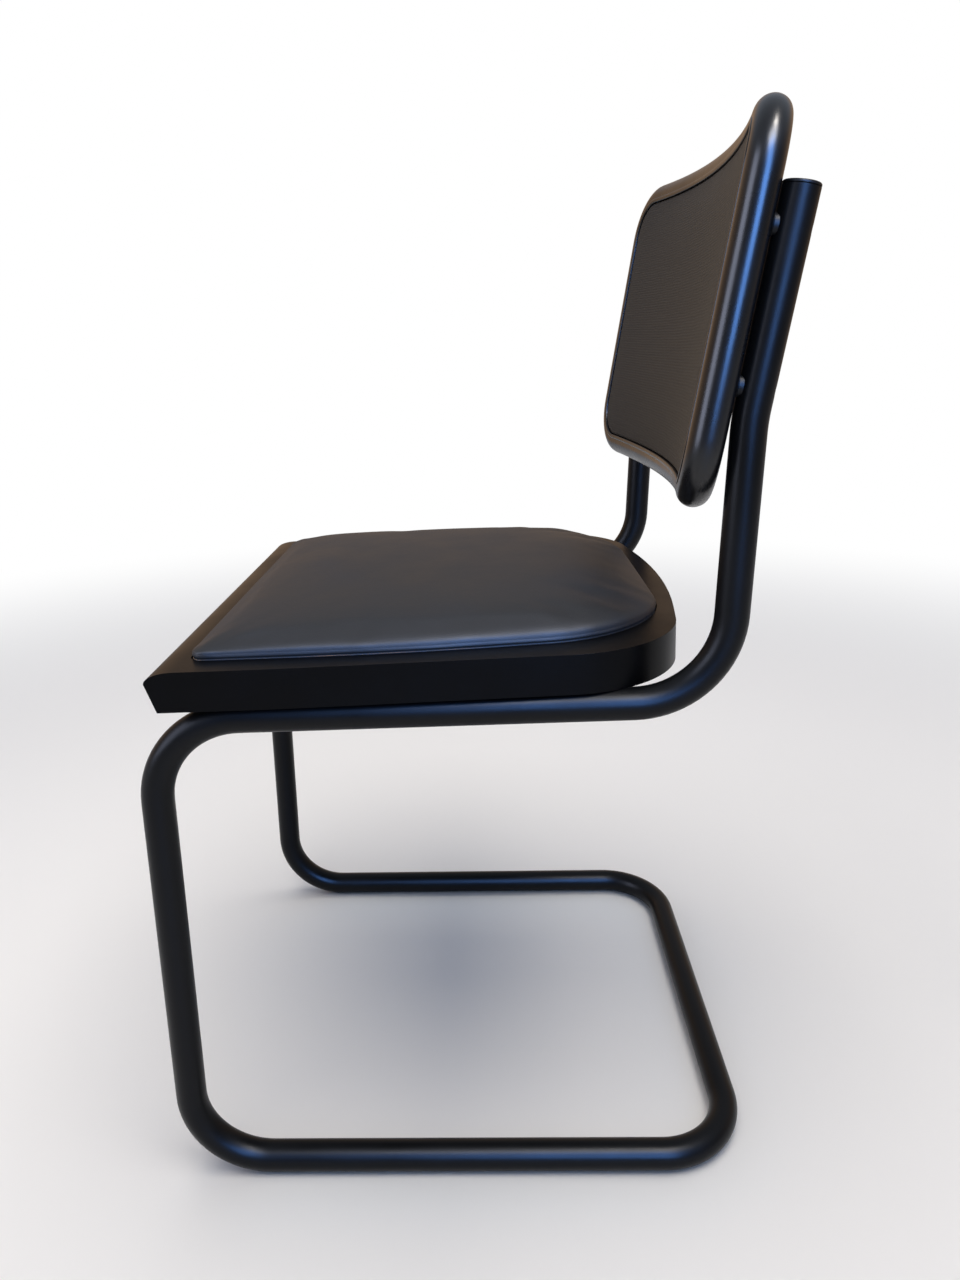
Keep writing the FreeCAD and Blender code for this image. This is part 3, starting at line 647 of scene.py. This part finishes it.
def rounded(corners, radii, step_degrees=2.0):
    """A closed outline with an arc at each corner that has a radius."""
    points = []
    count = len(corners)
    for i, corner in enumerate(corners):
        corner = Vector(corner)
        if not radii[i]:
            points.append(corner)
            continue
        before = Vector(corners[i - 1]) - corner
        after = Vector(corners[(i + 1) % count]) - corner
        half = before.angle(after) / 2
        reach = min(radii[i] / math.tan(half), SIDE_SHARE * before.length, SIDE_SHARE * after.length)
        radius = reach * math.tan(half)
        inward = (before.normalized() + after.normalized()).normalized()
        centre = corner + inward * (radius / math.sin(half))
        start = corner + before.normalized() * reach - centre
        turn = math.pi - 2 * half
        steps = max(2, math.ceil(math.degrees(turn) / step_degrees))
        way = -1 if before.cross(after) > 0 else 1
        points += [centre + Matrix.Rotation(way * angle, 2) @ start for angle in sweep(turn, steps)]
    return points


def evenly(points, count):
    """Pairs of a point and its outward direction, at equal distances along a closed outline."""
    closed = points + [points[0]]
    lengths = [(end - start).length for start, end in zip(closed, closed[1:])]
    total = sum(lengths)
    spots = []
    i = 0
    walked = 0.0
    for k in range(count):
        target = total * k / count
        while walked + lengths[i] < target:
            walked += lengths[i]
            i += 1
        spots.append(closed[i].lerp(closed[i + 1], (target - walked) / max(lengths[i], 1e-9)))
    ways = [(spots[(k + 1) % count] - spots[k - 1]).normalized() for k in range(count)]
    return [(spot, Vector((way.y, -way.x))) for spot, way in zip(spots, ways)]


def mirrored(right, radii):
    """The whole outline from the corners of its right half, listed from front to rear."""
    left = [((-x, y), radius) for (x, y), radius in zip(right, radii) if x > 0][::-1]
    return right + [corner for corner, _ in left], radii + [radius for _, radius in left]


# %% Outlines of the seat frame and its pad
SEAT_WIDTH = 459.0
SEAT_DEPTH = 422.0
SEAT_THICKNESS = 31.0
SEAT_WAIST_DEPTH = 90.0
SEAT_CORNER_DEPTH = 390.5
SEAT_REAR_HALF_WIDTH = 217.6
SEAT_SIDE_CURVE = 1500.0
SEAT_REAR_CORNER = 95.0
SEAT_REAR_CURVE = 900.0
seat_corners = [
    (SEAT_WIDTH / 2, 0), (SEAT_WIDTH / 2, SEAT_WAIST_DEPTH), (SEAT_REAR_HALF_WIDTH, SEAT_CORNER_DEPTH),
    (0, SEAT_DEPTH)]
seat_radii = [0, SEAT_SIDE_CURVE, SEAT_REAR_CORNER, SEAT_REAR_CURVE]

PAD_FRONT = 26.2
PAD_HALF_WIDTH = 204.4
PAD_WAIST_DEPTH = 179.7
PAD_REAR_HALF_WIDTH = 182.1
PAD_REAR = 394.6
PAD_FRONT_CORNER = 11.0
PAD_LEAST_CORNER = 1.0
PAD_SIDE_CURVE = 1400.0
PAD_REAR_CORNER = 110.0


def pad_outline(inset):
    right = [
        (PAD_HALF_WIDTH - inset, PAD_FRONT + inset),
        (PAD_HALF_WIDTH - inset, PAD_WAIST_DEPTH),
        (PAD_REAR_HALF_WIDTH - inset, PAD_REAR - inset),
    ]
    front_corner = max(PAD_FRONT_CORNER - inset, PAD_LEAST_CORNER)
    return rounded(*mirrored(right, [front_corner, PAD_SIDE_CURVE, PAD_REAR_CORNER - inset]))


print("points of the pad's outline:", len(pad_outline(0)))

# %% [markdown]
# ## The wooden seat frame
#
# The real frame is a front rail glued and dowelled to one bent rail. Its nose is planed to an ellipse on
# top and cut back below, and every outer edge is sanded. It is made as the joiner makes it: a slab of the
# outline, the nose profile run across it, the edges softened, and then the step for the pad, the opening
# and the screw wells cut in. Last, it is parted where the two rails meet.

# %% Prisms and the nose
def prism(name, points, direction):
    """A straight-sided block over a flat outline of points."""
    far = [Vector(p) + Vector(direction) for p in points]
    return skin(name, [points, far], finish["seat_lacquer"])


NOSE_LENGTH = 22.0
NOSE_HEIGHT = 22.5
NOSE_UNDERCUT = 7.3
EDGE_ROUND = 1.2
SEAT_STEP = 9.0
SEAT_LEDGE = 16.0
PAD_CLEARANCE = 0.5
FRONT_RAIL_DEPTH = PAD_FRONT + SEAT_LEDGE


def nose_block():
    """The side view of the slab, run across the chair."""
    rise = SEAT_THICKNESS - NOSE_HEIGHT
    far = 2 * SEAT_WIDTH
    profile = [(NOSE_UNDERCUT, 0.0)]
    for angle in sweep(math.pi / 2, steps=12):
        profile.append((NOSE_LENGTH * (1 - math.cos(angle)), NOSE_HEIGHT + rise * math.sin(angle)))
    profile += [(far, SEAT_THICKNESS), (far, 0.0)]
    return prism("nose", [(-SEAT_WIDTH, y, z) for y, z in profile], (2 * SEAT_WIDTH, 0, 0))


def outline_block(points, bottom, height):
    return prism("block", [(p.x, p.y, bottom) for p in points], (0, 0, height))


# %% Cut the seat frame
WELL_DEPTH = 9.0
WELL_RADIUS = 4.1
BOARD_SCREW_DEPTHS = (108.0, 200.0, 320.0)


def half_width_at(points, depth):
    """How far from the middle an outline lies at a depth behind the nose."""
    for a, b in zip(points, points[1:] + points[:1]):
        if a.x > 0 and b.x > 0 and (a.y - depth) * (b.y - depth) <= 0 and a.y != b.y:
            return a.x + (b.x - a.x) * (depth - a.y) / (b.y - a.y)
    return 0.0


ledge = pad_outline(SEAT_LEDGE / 2)
well_spots = [(sign * half_width_at(ledge, depth), depth) for depth in BOARD_SCREW_DEPTHS for sign in (-1, 1)]


def seat_frame():
    slab = outline_block(rounded(*mirrored(seat_corners, seat_radii)), 0, SEAT_THICKNESS)
    carve(slab, nose_block(), "INTERSECT")
    soften(slab, EDGE_ROUND, limit_degrees=15)
    step = outline_block(pad_outline(-PAD_CLEARANCE), SEAT_THICKNESS - SEAT_STEP, 2 * SEAT_STEP)
    carve(slab, step, "DIFFERENCE")
    opening = outline_block(pad_outline(SEAT_LEDGE), -CUT_PAST, SEAT_THICKNESS + 2 * CUT_PAST)
    carve(slab, opening, "DIFFERENCE")
    for x, y in well_spots:
        well = turned("well", [(WELL_RADIUS, -CUT_PAST), (WELL_RADIUS, WELL_DEPTH)], finish["seat_lacquer"])
        well.data.transform(Matrix.Translation(Vector((x, y, 0)) * MM))
        carve(slab, well, "DIFFERENCE")
    return slab


def front_block():
    """All that lies before the joint of the two rails."""
    w = SEAT_WIDTH
    corners = [(-w, -w, -w), (w, -w, -w), (w, FRONT_RAIL_DEPTH, -w), (-w, FRONT_RAIL_DEPTH, -w)]
    return prism("front block", corners, (0, 0, 2 * w))


bent_rail = seat_frame()
bent_rail.name = "seat_bent_rail_finished"
front_rail = twin(bent_rail, "seat_front_rail_finished")
carve(front_rail, front_block(), "INTERSECT")
carve(bent_rail, front_block(), "DIFFERENCE")
for rail, material, node in (
        (front_rail, "seat_lacquer", "seat_front_rail"), (bent_rail, "seat_lacquer_bent", "seat_bent_rail")):
    flatten_reflections(rail, sharp_degrees=30)
    rail.data.materials.clear()
    rail.data.materials.append(finish[material])
    put(rail, seat_place, node, "satin_lacquered_beech")
    print(rail.name, "faces:", len(rail.data.polygons))

# %% [markdown]
# ## The seat pad
#
# Foam on a board, with leatherette pulled over it and tucked into the frame's step. It is crowned both
# ways, rolls over at its rim and is drawn in at the foot, where a dark line shows.

# %% The pad's shape
PAD_EDGE_HEIGHT = 14.0
PAD_CROWN = 13.0
PAD_END_DROP = 5.5
PAD_END_FALL = 0.85
PAD_MIDDLE = Vector((0, (PAD_FRONT + PAD_REAR) / 2))
PAD_SIDE = 5.0
PAD_SHOULDER = 30.0
PAD_CORNER_TURN = 9.0
SHOULDER_SHAPE = 2.4
OUTLINE_SPOTS = 360
SHOULDER_STEPS = 16
PAD_ROWS = 36
# The foot in section, as inset and height over the wood: it is tucked in the step, drawn in, then let out.
PAD_FOOT = [(3.0, -8.0), (0.6, -7.0), (0.6, -0.5), (1.2, 0.2), (0.7, 1.2), (0.2, 2.4), (0.0, PAD_SIDE - 1.0)]


def toward_middle(point, distance):
    """The point moved inwards in line with the pad's middle, so that the rings stay even."""
    reach = point - PAD_MIDDLE
    return PAD_MIDDLE + reach * (1 - distance / max(abs(reach.x), abs(reach.y)))


def pad_top(x, y, inside):
    """Height of the top over the seat's underside, at a distance inside the pad's outline."""
    ends = (2 * (y - PAD_FRONT) / (PAD_REAR - PAD_FRONT) - 1) ** 4
    edge = PAD_EDGE_HEIGHT - PAD_END_DROP * ends
    dome = edge + PAD_CROWN * (1 - PAD_END_FALL * ends) * (1 - (x / PAD_HALF_WIDTH) ** 2)
    short = max(0.0, 1 - inside / PAD_SHOULDER)
    swell = (1 - short ** SHOULDER_SHAPE) ** (1 / SHOULDER_SHAPE)
    return SEAT_THICKNESS + PAD_SIDE + (dome - PAD_SIDE) * swell


def pad_rings():
    """Rings from the pad's hidden foot, over its shoulder, to the middle of its top."""
    edge = evenly(pad_outline(0), OUTLINE_SPOTS)
    rings = [[(*(p - n * inset), SEAT_THICKNESS + height) for p, n in edge] for inset, height in PAD_FOOT]
    for angle in sweep(math.pi / 2, SHOULDER_STEPS):
        inside = PAD_SHOULDER * (1 - math.cos(angle))
        ring = [p - n * min(inside, PAD_CORNER_TURN) for p, n in edge]
        ring = [toward_middle(p, max(0.0, inside - PAD_CORNER_TURN)) for p in ring]
        rings.append([(p.x, p.y, pad_top(p.x, p.y, inside)) for p in ring])
    for k in range(1, PAD_ROWS):
        smaller = [PAD_MIDDLE + (p - PAD_MIDDLE) * (1 - k / PAD_ROWS) for p in ring]
        rings.append([(p.x, p.y, pad_top(p.x, p.y, PAD_SHOULDER)) for p in smaller])
    return rings


pad = skin("seat_pad", pad_rings(), finish["leatherette"])

# %% [markdown]
# ## Letting the cover swell
#
# A cloth simulation gives the pad the fullness of a skin stretched over foam. It runs on a copy with even
# faces, pinned at the foot where the board clamps the cover, and air pressure stands in for the foam. Each
# point of the pad then moves as the nearest points of the copy did. How far it may move is limited, so the
# pad starts a little lower than the real one and ends at its height.

# %% Cloth on a copy of the pad
COPY_FACE = 7.0
PINNED_UP_TO = 4.0
SWELL_LIMIT = 4.0
AIR_PRESSURE = 4.0
SIMULATED_FRAMES = 20
NEIGHBOURS = 14
top_of_foot = (SEAT_THICKNESS + PINNED_UP_TO) * MM


def swell_copy(piece):
    """Where the points of an evenly meshed copy start, and where pressure takes them."""
    copy = twin(piece, "cover_copy")
    even = copy.modifiers.new("even faces", "REMESH")
    even.mode = "VOXEL"
    even.voxel_size = COPY_FACE * MM
    settle(copy)
    held = copy.vertex_groups.new(name="held")
    held.add([v.index for v in copy.data.vertices if v.co.z < top_of_foot], 1.0, "REPLACE")
    cloth = copy.modifiers.new("cover", "CLOTH")
    cloth.settings.vertex_group_mass = held.name
    cloth.settings.use_pressure = True
    cloth.settings.uniform_pressure_force = AIR_PRESSURE
    cloth.settings.effector_weights.gravity = 0.0
    cloth.collision_settings.use_collision = False
    starts = [v.co.copy() for v in copy.data.vertices]
    for frame_number in range(1, SIMULATED_FRAMES + 1):
        bpy.context.scene.frame_set(frame_number)
    graph = bpy.context.evaluated_depsgraph_get()
    ends = [v.co.copy() for v in copy.evaluated_get(graph).data.vertices]
    copy.modifiers.clear()
    bpy.data.objects.remove(copy)
    bpy.context.scene.frame_set(1)
    return starts, ends


def swell_cover(piece):
    """Move each point above the foot as its nearest points of the copy moved."""
    starts, ends = swell_copy(piece)
    tree = KDTree(len(starts))
    for i, start in enumerate(starts):
        tree.insert(start, i)
    tree.balance()
    limit = SWELL_LIMIT * MM
    furthest = 0.0
    for vertex in piece.data.vertices:
        if vertex.co.z < top_of_foot:
            continue
        near = tree.find_n(vertex.co, NEIGHBOURS)
        shares = [math.exp(-(distance / (COPY_FACE * MM)) ** 2) for _, _, distance in near]
        step = sum(((ends[i] - starts[i]) * share for (_, i, _), share in zip(near, shares)), Vector())
        step /= sum(shares)
        step *= limit / (limit + step.length)
        vertex.co += step
        furthest = max(furthest, step.length)
    print("furthest the cover swelled, in mm:", round(furthest / MM, 2))


swell_cover(pad)
put(pad, seat_place, "seat_cover", "leatherette", "seat_foam")
print("pad faces:", len(pad.data.polygons))

# %% [markdown]
# ## The curved back, unrolled
#
# The back is a flat shape bent round an upright axis. It is drawn unrolled, as (across, up) with a depth
# towards the rear, and one function bends any such point into place. The middle is an arc of 0.92 m radius,
# and the stiles are straight, where the bend has ended.

# %% Bend the flat back
BACK_WIDTH = 454.6
BACK_BOTTOM = -69.0
BACK_HEIGHT = 276.2
BACK_CURVE = 920.0
BACK_CORNER = 53.5
BACK_GAP = 2.2
BULLNOSE = 12.5
turn = BACK_CORNER - BULLNOSE
stile_x = BACK_WIDTH / 2 - BULLNOSE
stile_depth = -(TUBE_RADIUS + BACK_GAP + BULLNOSE)
end_angle = math.asin(stile_x / math.hypot(BACK_CURVE, turn)) - math.atan(turn / BACK_CURVE)
axis_y = stile_depth - BACK_CURVE * math.cos(end_angle) + turn * math.sin(end_angle)
arc_half = BACK_CURVE * end_angle
ring_half_width = arc_half + turn
ring_half_height = BACK_HEIGHT / 2 - BULLNOSE
back_middle = BACK_BOTTOM + BACK_HEIGHT / 2


def bend_back(across, up, depth):
    """From the unrolled back to its place: depth counts to the rear from the frame's middle line."""
    held = max(-arc_half, min(arc_half, across))
    angle = held / BACK_CURVE
    beyond = across - held
    radius = BACK_CURVE + depth
    x = radius * math.sin(angle) + beyond * math.cos(angle)
    y = axis_y + radius * math.cos(angle) - beyond * math.sin(angle)
    return (x, y, back_middle + up)


def back_outline(out):
    """The unrolled ring of the frame, moved outwards from its middle line, with points along the rails."""
    w = ring_half_width + out
    h = ring_half_height + out
    corners = [(w, -h), (w, h), (-w, h), (-w, -h)]
    return rounded(corners, [turn + out] * len(corners), step_degrees=4.0)


print("turn of the back from stile to stile, in degrees:", round(2 * math.degrees(end_angle), 1))

# %% [markdown]
# ## The rounded back frame
#
# Two bent halves meet in the middle of the stiles. Their section is a half-round outside, a square inside
# and a step at the front for the panel, with a low bead along the step that catches the light. The section
# runs round the ring, and each half gets closed ends.

# %% The section and the two halves
FRONT_LAND = 19.0
FRAME_WIDTH = 33.0
REBATE = 8.0
BEAD_WIDTH = 4.0
BEAD_RISE = 1.0
INNER_ROUND = 1.0
STILE_STEPS = 6
TURN_STEPS = 14
RAIL_STEPS = 48


def frame_section():
    """Points (outwards, rearwards) round the section."""
    outside = [(BULLNOSE * math.sin(a), BULLNOSE * math.cos(a)) for a in sweep(math.pi, steps=24)]
    land = BULLNOSE - FRONT_LAND
    bead = [
        (land + BEAD_WIDTH / 2 * (1 + math.cos(a)), -BULLNOSE - BEAD_RISE * math.sin(a))
        for a in sweep(math.pi, steps=8)
    ]
    inner = BULLNOSE - FRAME_WIDTH
    step = [(land, REBATE - BULLNOSE), (inner, REBATE - BULLNOSE)]
    halfway = 0.3 * INNER_ROUND
    corner = [(inner, BULLNOSE - INNER_ROUND), (inner + halfway, BULLNOSE - halfway)]
    return outside + bead + step + corner + [(inner + INNER_ROUND, BULLNOSE)]


def ring_stations(sign):
    """Middle line of one half as (across, up, outward across, outward up), right stile to left stile."""
    w = ring_half_width
    h = ring_half_height
    right = [(w, sign * (h - turn) * k / STILE_STEPS, 1.0, 0.0) for k in range(STILE_STEPS)]
    for angle in sweep(math.pi / 2, TURN_STEPS):
        c, s = math.cos(angle), math.sin(angle)
        right.append((w - turn + turn * c, sign * (h - turn + turn * s), c, sign * s))
    rail = [((w - turn) * (1 - 2 * k / RAIL_STEPS), sign * h, 0.0, float(sign)) for k in range(1, RAIL_STEPS)]
    left = [(-a, u, -oa, ou) for a, u, oa, ou in reversed(right)]
    return right + rail + left


section = frame_section()
for word, sign in (("upper", 1), ("lower", -1)):
    rings = [
        [bend_back(a + oa * out, u + ou * out, rear) for out, rear in section]
        for a, u, oa, ou in ring_stations(sign)
    ]
    half_ring = skin("back_frame_" + word, rings, finish["back_lacquer"])
    mark_sharp(half_ring, degrees=40)
    put(half_ring, back_place, "back_" + word + "_bend", "gloss_lacquered_beech")
    print(half_ring.name, "faces:", len(half_ring.data.polygons))

# %% [markdown]
# ## The upholstered panel
#
# Fabric is pulled over foam at the front and at the rear. The front is crowned, the rear only follows the
# bend, and both roll into a narrow seam beside the wood. Their UV map is the cloth laid flat, in metres,
# which keeps the ribs level. Hidden rings close each side behind, because one flat face there would cut
# through the curve.

# %% Front and rear of the panel
PANEL_SEAM = 0.5
PANEL_CROWN = 7.0
FRONT_SUNK = 0.5
FRONT_ROLL = 2.4
REAR_SEAM = 0.3
REAR_SUNK = 2.0
REAR_ROLL = 2.0
ROLL_HEIGHT = 3.0
FOOT_TUCK = 4.0
FOOT_GAP = 0.5
HIDDEN_ROWS = 16
FACE_ROWS = 40


def panel_rings(inset, profile, crown, face_depth, sign):
    """Rings round one side of the panel: hidden back, rim, then crowned face. sign is -1 at the front."""
    edge = evenly(back_outline(BULLNOSE - inset), OUTLINE_SPOTS)
    half_w = ring_half_width + BULLNOSE - inset
    half_h = ring_half_height + BULLNOSE - inset
    rings = []
    flat = []

    def ring(points, depth_of):
        rings.append([bend_back(p.x, p.y, depth_of(p)) for p in points])
        flat.append([(p.x * MM, p.y * MM) for p in points])

    def crowned(p):
        rise = (1 - (p.x / half_w) ** 2) * (1 - (p.y / half_h) ** 4)
        return face_depth + sign * crown * rise

    foot_step, foot_depth = profile[0]
    foot = [p - n * foot_step for p, n in edge]
    for k in range(1, HIDDEN_ROWS):
        ring([p * (k / HIDDEN_ROWS) for p in foot], lambda p: foot_depth)
    for step_in, depth in profile:
        points = [p - n * step_in for p, n in edge]
        follows = float((face_depth - depth) * sign < ROLL_HEIGHT)
        ring(points, lambda p: depth + follows * (crowned(p) - face_depth))
    for k in range(1, FACE_ROWS):
        ring([p * (1 - k / FACE_ROWS) for p in points], crowned)
    return rings, flat


def roll(face_depth, sign, radius, foot):
    """The rim in section, from a closed foot to the face."""
    profile = [(FOOT_TUCK, foot), (0.0, foot)]
    for angle in sweep(math.pi / 2, steps=6):
        profile.append((radius * (1 - math.cos(angle)), face_depth - sign * radius * (1 - math.sin(angle))))
    return profile


def panel(word, sign, inset, radius, sunk, crown):
    """One upholstered side of the back, whose rim lies sunk below the frame's face."""
    face = sign * (BULLNOSE - sunk)
    foot = REBATE - BULLNOSE + sign * FOOT_GAP
    rings, flat = panel_rings(inset, roll(face, sign, radius, foot), crown, face, sign)
    made = skin("back_" + word + "_panel", rings, finish["fabric"], flat)
    put(made, back_place, "back_" + word + "_cover", "ribbed_fabric", "back_" + word + "_foam")
    print(made.name, "faces:", len(made.data.polygons))
    return made


front_panel = panel("front", -1, FRONT_LAND + PANEL_SEAM, FRONT_ROLL, FRONT_SUNK, PANEL_CROWN)
rear_panel = panel("rear", 1, FRAME_WIDTH + REAR_SEAM, REAR_ROLL, REAR_SUNK, 0.0)

# %% [markdown]
# ## Finishes for the small CAD parts
#
# The washers, spacers, screws, inserts, dowels and boards already have their right shapes in the CAD model,
# so they stay, and only get their materials.

# %% Dress the CAD parts that stay
kept = {
    "seat_board": "plywood", "back_board": "plywood", "seat_rail_dowels": "beech",
    "back_frame_dowels": "beech", "seat_board_screws": "zinc", "seat_inserts": "brass",
    "back_inserts": "brass", "seat_screws": "black_screw", "back_screws": "black_screw",
    "back_washers": "dark_steel", "back_spacers": "plastic",
}
for name, look in kept.items():
    mesh = nodes[name].data
    mesh.materials.clear()
    mesh.materials.append(finish[look])
print("CAD parts dressed:", len(kept))

# %% [markdown]
# ## Floor, light and world
#
# A plain pale floor and soft light, as in a small studio. One big warm white panel overhead lights
# everything. The other lamps stand round the camera and only show as highlights: a cool white one on the
# left and a blue window on the right draw the two long streaks down the stile and the tubes. The far wall
# is warm and low, so the seat's front edge and the rails of the back look brown at a slant. The background
# is white because its own colour is white, not because more light falls on the chair.

# %% Floor and world
GLOSSY_SHARE = 0.1
FLOOR_RADIUS = 6.0
FADE_START = 1.0
FADE_END = 2.6
WALL_TURNS_COOL = (-0.6, 0.5)
WALL_ENDS = (0.26, 0.6)


def seen_directly(tree):
    """1 for what the camera sees, also through clear things, and a share of that in reflections."""
    rays = add(tree, "ShaderNodeLightPath")
    mirrored_share = add(tree, "ShaderNodeMath", {0: rays.outputs["Is Glossy Ray"], 1: GLOSSY_SHARE},
                         operation="MULTIPLY")
    through = add(tree, "ShaderNodeMath", {
        0: rays.outputs["Is Camera Ray"], 1: rays.outputs["Is Transmission Ray"]}, operation="MAXIMUM")
    return add(tree, "ShaderNodeMath", {0: through.outputs[0], 1: mirrored_share.outputs[0]},
               operation="MAXIMUM").outputs[0]


def floor_material():
    material, tree, shader = start_material("pale_floor", Base_Color=colour("#f4f4f4"), Roughness=0.8)
    point = add(tree, "ShaderNodeTexCoord").outputs["Object"]
    distance = add(tree, "ShaderNodeVectorMath", {0: point}, operation="LENGTH")
    far = add(tree, "ShaderNodeMapRange", {
        "Value": distance.outputs["Value"], "From Min": FADE_START, "From Max": FADE_END},
        interpolation_type="SMOOTHSTEP")
    share = add(tree, "ShaderNodeMath", {0: far.outputs[0], 1: seen_directly(tree)}, operation="MULTIPLY")
    white = add(tree, "ShaderNodeEmission", {"Color": (1, 1, 1, 1), "Strength": 1.0})
    mix = add(tree, "ShaderNodeMixShader", {0: share.outputs[0], 1: shader.outputs[0], 2: white.outputs[0]})
    out = next(n for n in tree.nodes if n.type == "OUTPUT_MATERIAL")
    tree.links.new(mix.outputs[0], out.inputs["Surface"])
    return material


def make_floor():
    shape = bmesh.new()
    bmesh.ops.create_circle(shape, cap_ends=True, radius=FLOOR_RADIUS, segments=96)
    mesh = bpy.data.meshes.new("floor")
    shape.to_mesh(mesh)
    shape.free()
    mesh.materials.append(floor_material())
    into_scene("floor", mesh)


def make_world():
    world = bpy.data.worlds.new("studio")
    bpy.context.scene.world = world
    world.use_nodes = True
    tree = world.node_tree
    tree.nodes.clear()
    direction = add(tree, "ShaderNodeTexCoord").outputs["Generated"]
    parts = add(tree, "ShaderNodeSeparateXYZ", {"Vector": direction})
    across, height = [
        add(tree, "ShaderNodeMapRange", {"Value": parts.outputs[axis], "From Min": start, "From Max": end},
            interpolation_type="SMOOTHSTEP")
        for axis, (start, end) in (("X", WALL_TURNS_COOL), ("Z", WALL_ENDS))
    ]
    wall = add(tree, "ShaderNodeMix", {
        0: across.outputs[0], LOW: colour("#dcb084"), HIGH: colour("#60646c")}, data_type="RGBA")
    tones = add(tree, "ShaderNodeMix", {
        0: height.outputs[0], LOW: wall.outputs[MIXED], HIGH: colour("#b4c0d2")}, data_type="RGBA")
    room = add(tree, "ShaderNodeBackground", {"Color": tones.outputs[MIXED], "Strength": 0.8})
    white = add(tree, "ShaderNodeBackground", {"Color": (1, 1, 1, 1), "Strength": 1.0})
    mix = add(tree, "ShaderNodeMixShader", {0: seen_directly(tree), 1: room.outputs[0], 2: white.outputs[0]})
    add(tree, "ShaderNodeOutputWorld", {"Surface": mix.outputs[0]})


make_floor()
make_world()

# %% Lamps
def softbox(name, place, target, size, power, tint, only_highlights=True):
    """A rectangular lamp, which either shows only as a highlight or lights surfaces without showing."""
    lamp = bpy.data.lights.new(name, "AREA")
    lamp.shape = "RECTANGLE"
    lamp.size, lamp.size_y = size
    lamp.energy = power
    lamp.color = colour(tint)[:3]
    made = into_scene(name, lamp)
    made.location = place
    made.rotation_euler = (Vector(target) - Vector(place)).to_track_quat("-Z", "Y").to_euler()
    made.visible_camera = False
    made.visible_diffuse = not only_highlights
    made.visible_glossy = only_highlights


softbox("overhead_panel", (0.3, 0.0, 2.6), (0, 0, 0.4), (2.4, 2.4), 56, "#fff5e6", False)
softbox("left_panel", (0.95, -1.95, 1.3), (0, 0, 0.6), (1.2, 1.8), 58, "#c4cce6")
softbox("window", (2.15, 0.50, 1.6), (0, 0.1, 0.7), (1.0, 2.0), 160, "#69a4ff")
softbox("high_window", (1.6, 0.5, 2.6), (0, 0, 0.5), (1.4, 0.9), 85, "#e4e4e6")
softbox("ceiling_lamp", (0.75, 0.7, 2.5), (0, 0.1, 0.5), (0.3, 0.3), 20, "#fff8f0")
print("lamps:", len(bpy.data.lights))

# %% [markdown]
# ## The camera
#
# The camera stands at the chair's side, level with the back, close enough for strong perspective. Its
# height, turn and lens come from measuring the tube in the photograph. The lens shift is small and only
# puts the chair where the photograph has it.

# %% The photograph's view
IMAGE_WIDTH, IMAGE_HEIGHT = 960, 1280
FOCAL_PIXELS = 915.62
CENTRE_PIXELS = (462.74, 596.89)
CAMERA_PLACE = (0.8469, 0.0231, 0.6883)
CAMERA_TURNS = (1.41198, -15.33961, -1.39504)


def make_camera():
    """Turn the camera by its yaw, pitch and roll in degrees, and look through the photograph's lens."""
    yaw, pitch, roll_angle = (math.radians(degrees) for degrees in CAMERA_TURNS)
    forward = Vector((-math.cos(yaw) * math.cos(pitch), -math.sin(yaw) * math.cos(pitch), math.sin(pitch)))
    right = forward.cross(Vector((0, 0, 1))).normalized()
    up = right.cross(forward)
    c, s = math.cos(roll_angle), math.sin(roll_angle)
    right, up = right * c + up * s, up * c - right * s
    data = bpy.data.cameras.new("photo_view")
    data.sensor_width = 36.0
    data.lens = FOCAL_PIXELS * data.sensor_width / IMAGE_HEIGHT
    data.shift_x = (IMAGE_WIDTH / 2 - CENTRE_PIXELS[0]) / IMAGE_HEIGHT
    data.shift_y = (CENTRE_PIXELS[1] - IMAGE_HEIGHT / 2) / IMAGE_HEIGHT
    data.clip_start = 0.02
    camera = into_scene("photo_view", data)
    turned_to = Matrix((right, up, -forward)).transposed().to_4x4()
    camera.matrix_world = Matrix.Translation(CAMERA_PLACE) @ turned_to
    bpy.context.scene.camera = camera


make_camera()
bpy.context.scene.view_settings.view_transform = "Standard"
print("lens in mm:", round(bpy.context.scene.camera.data.lens, 1))
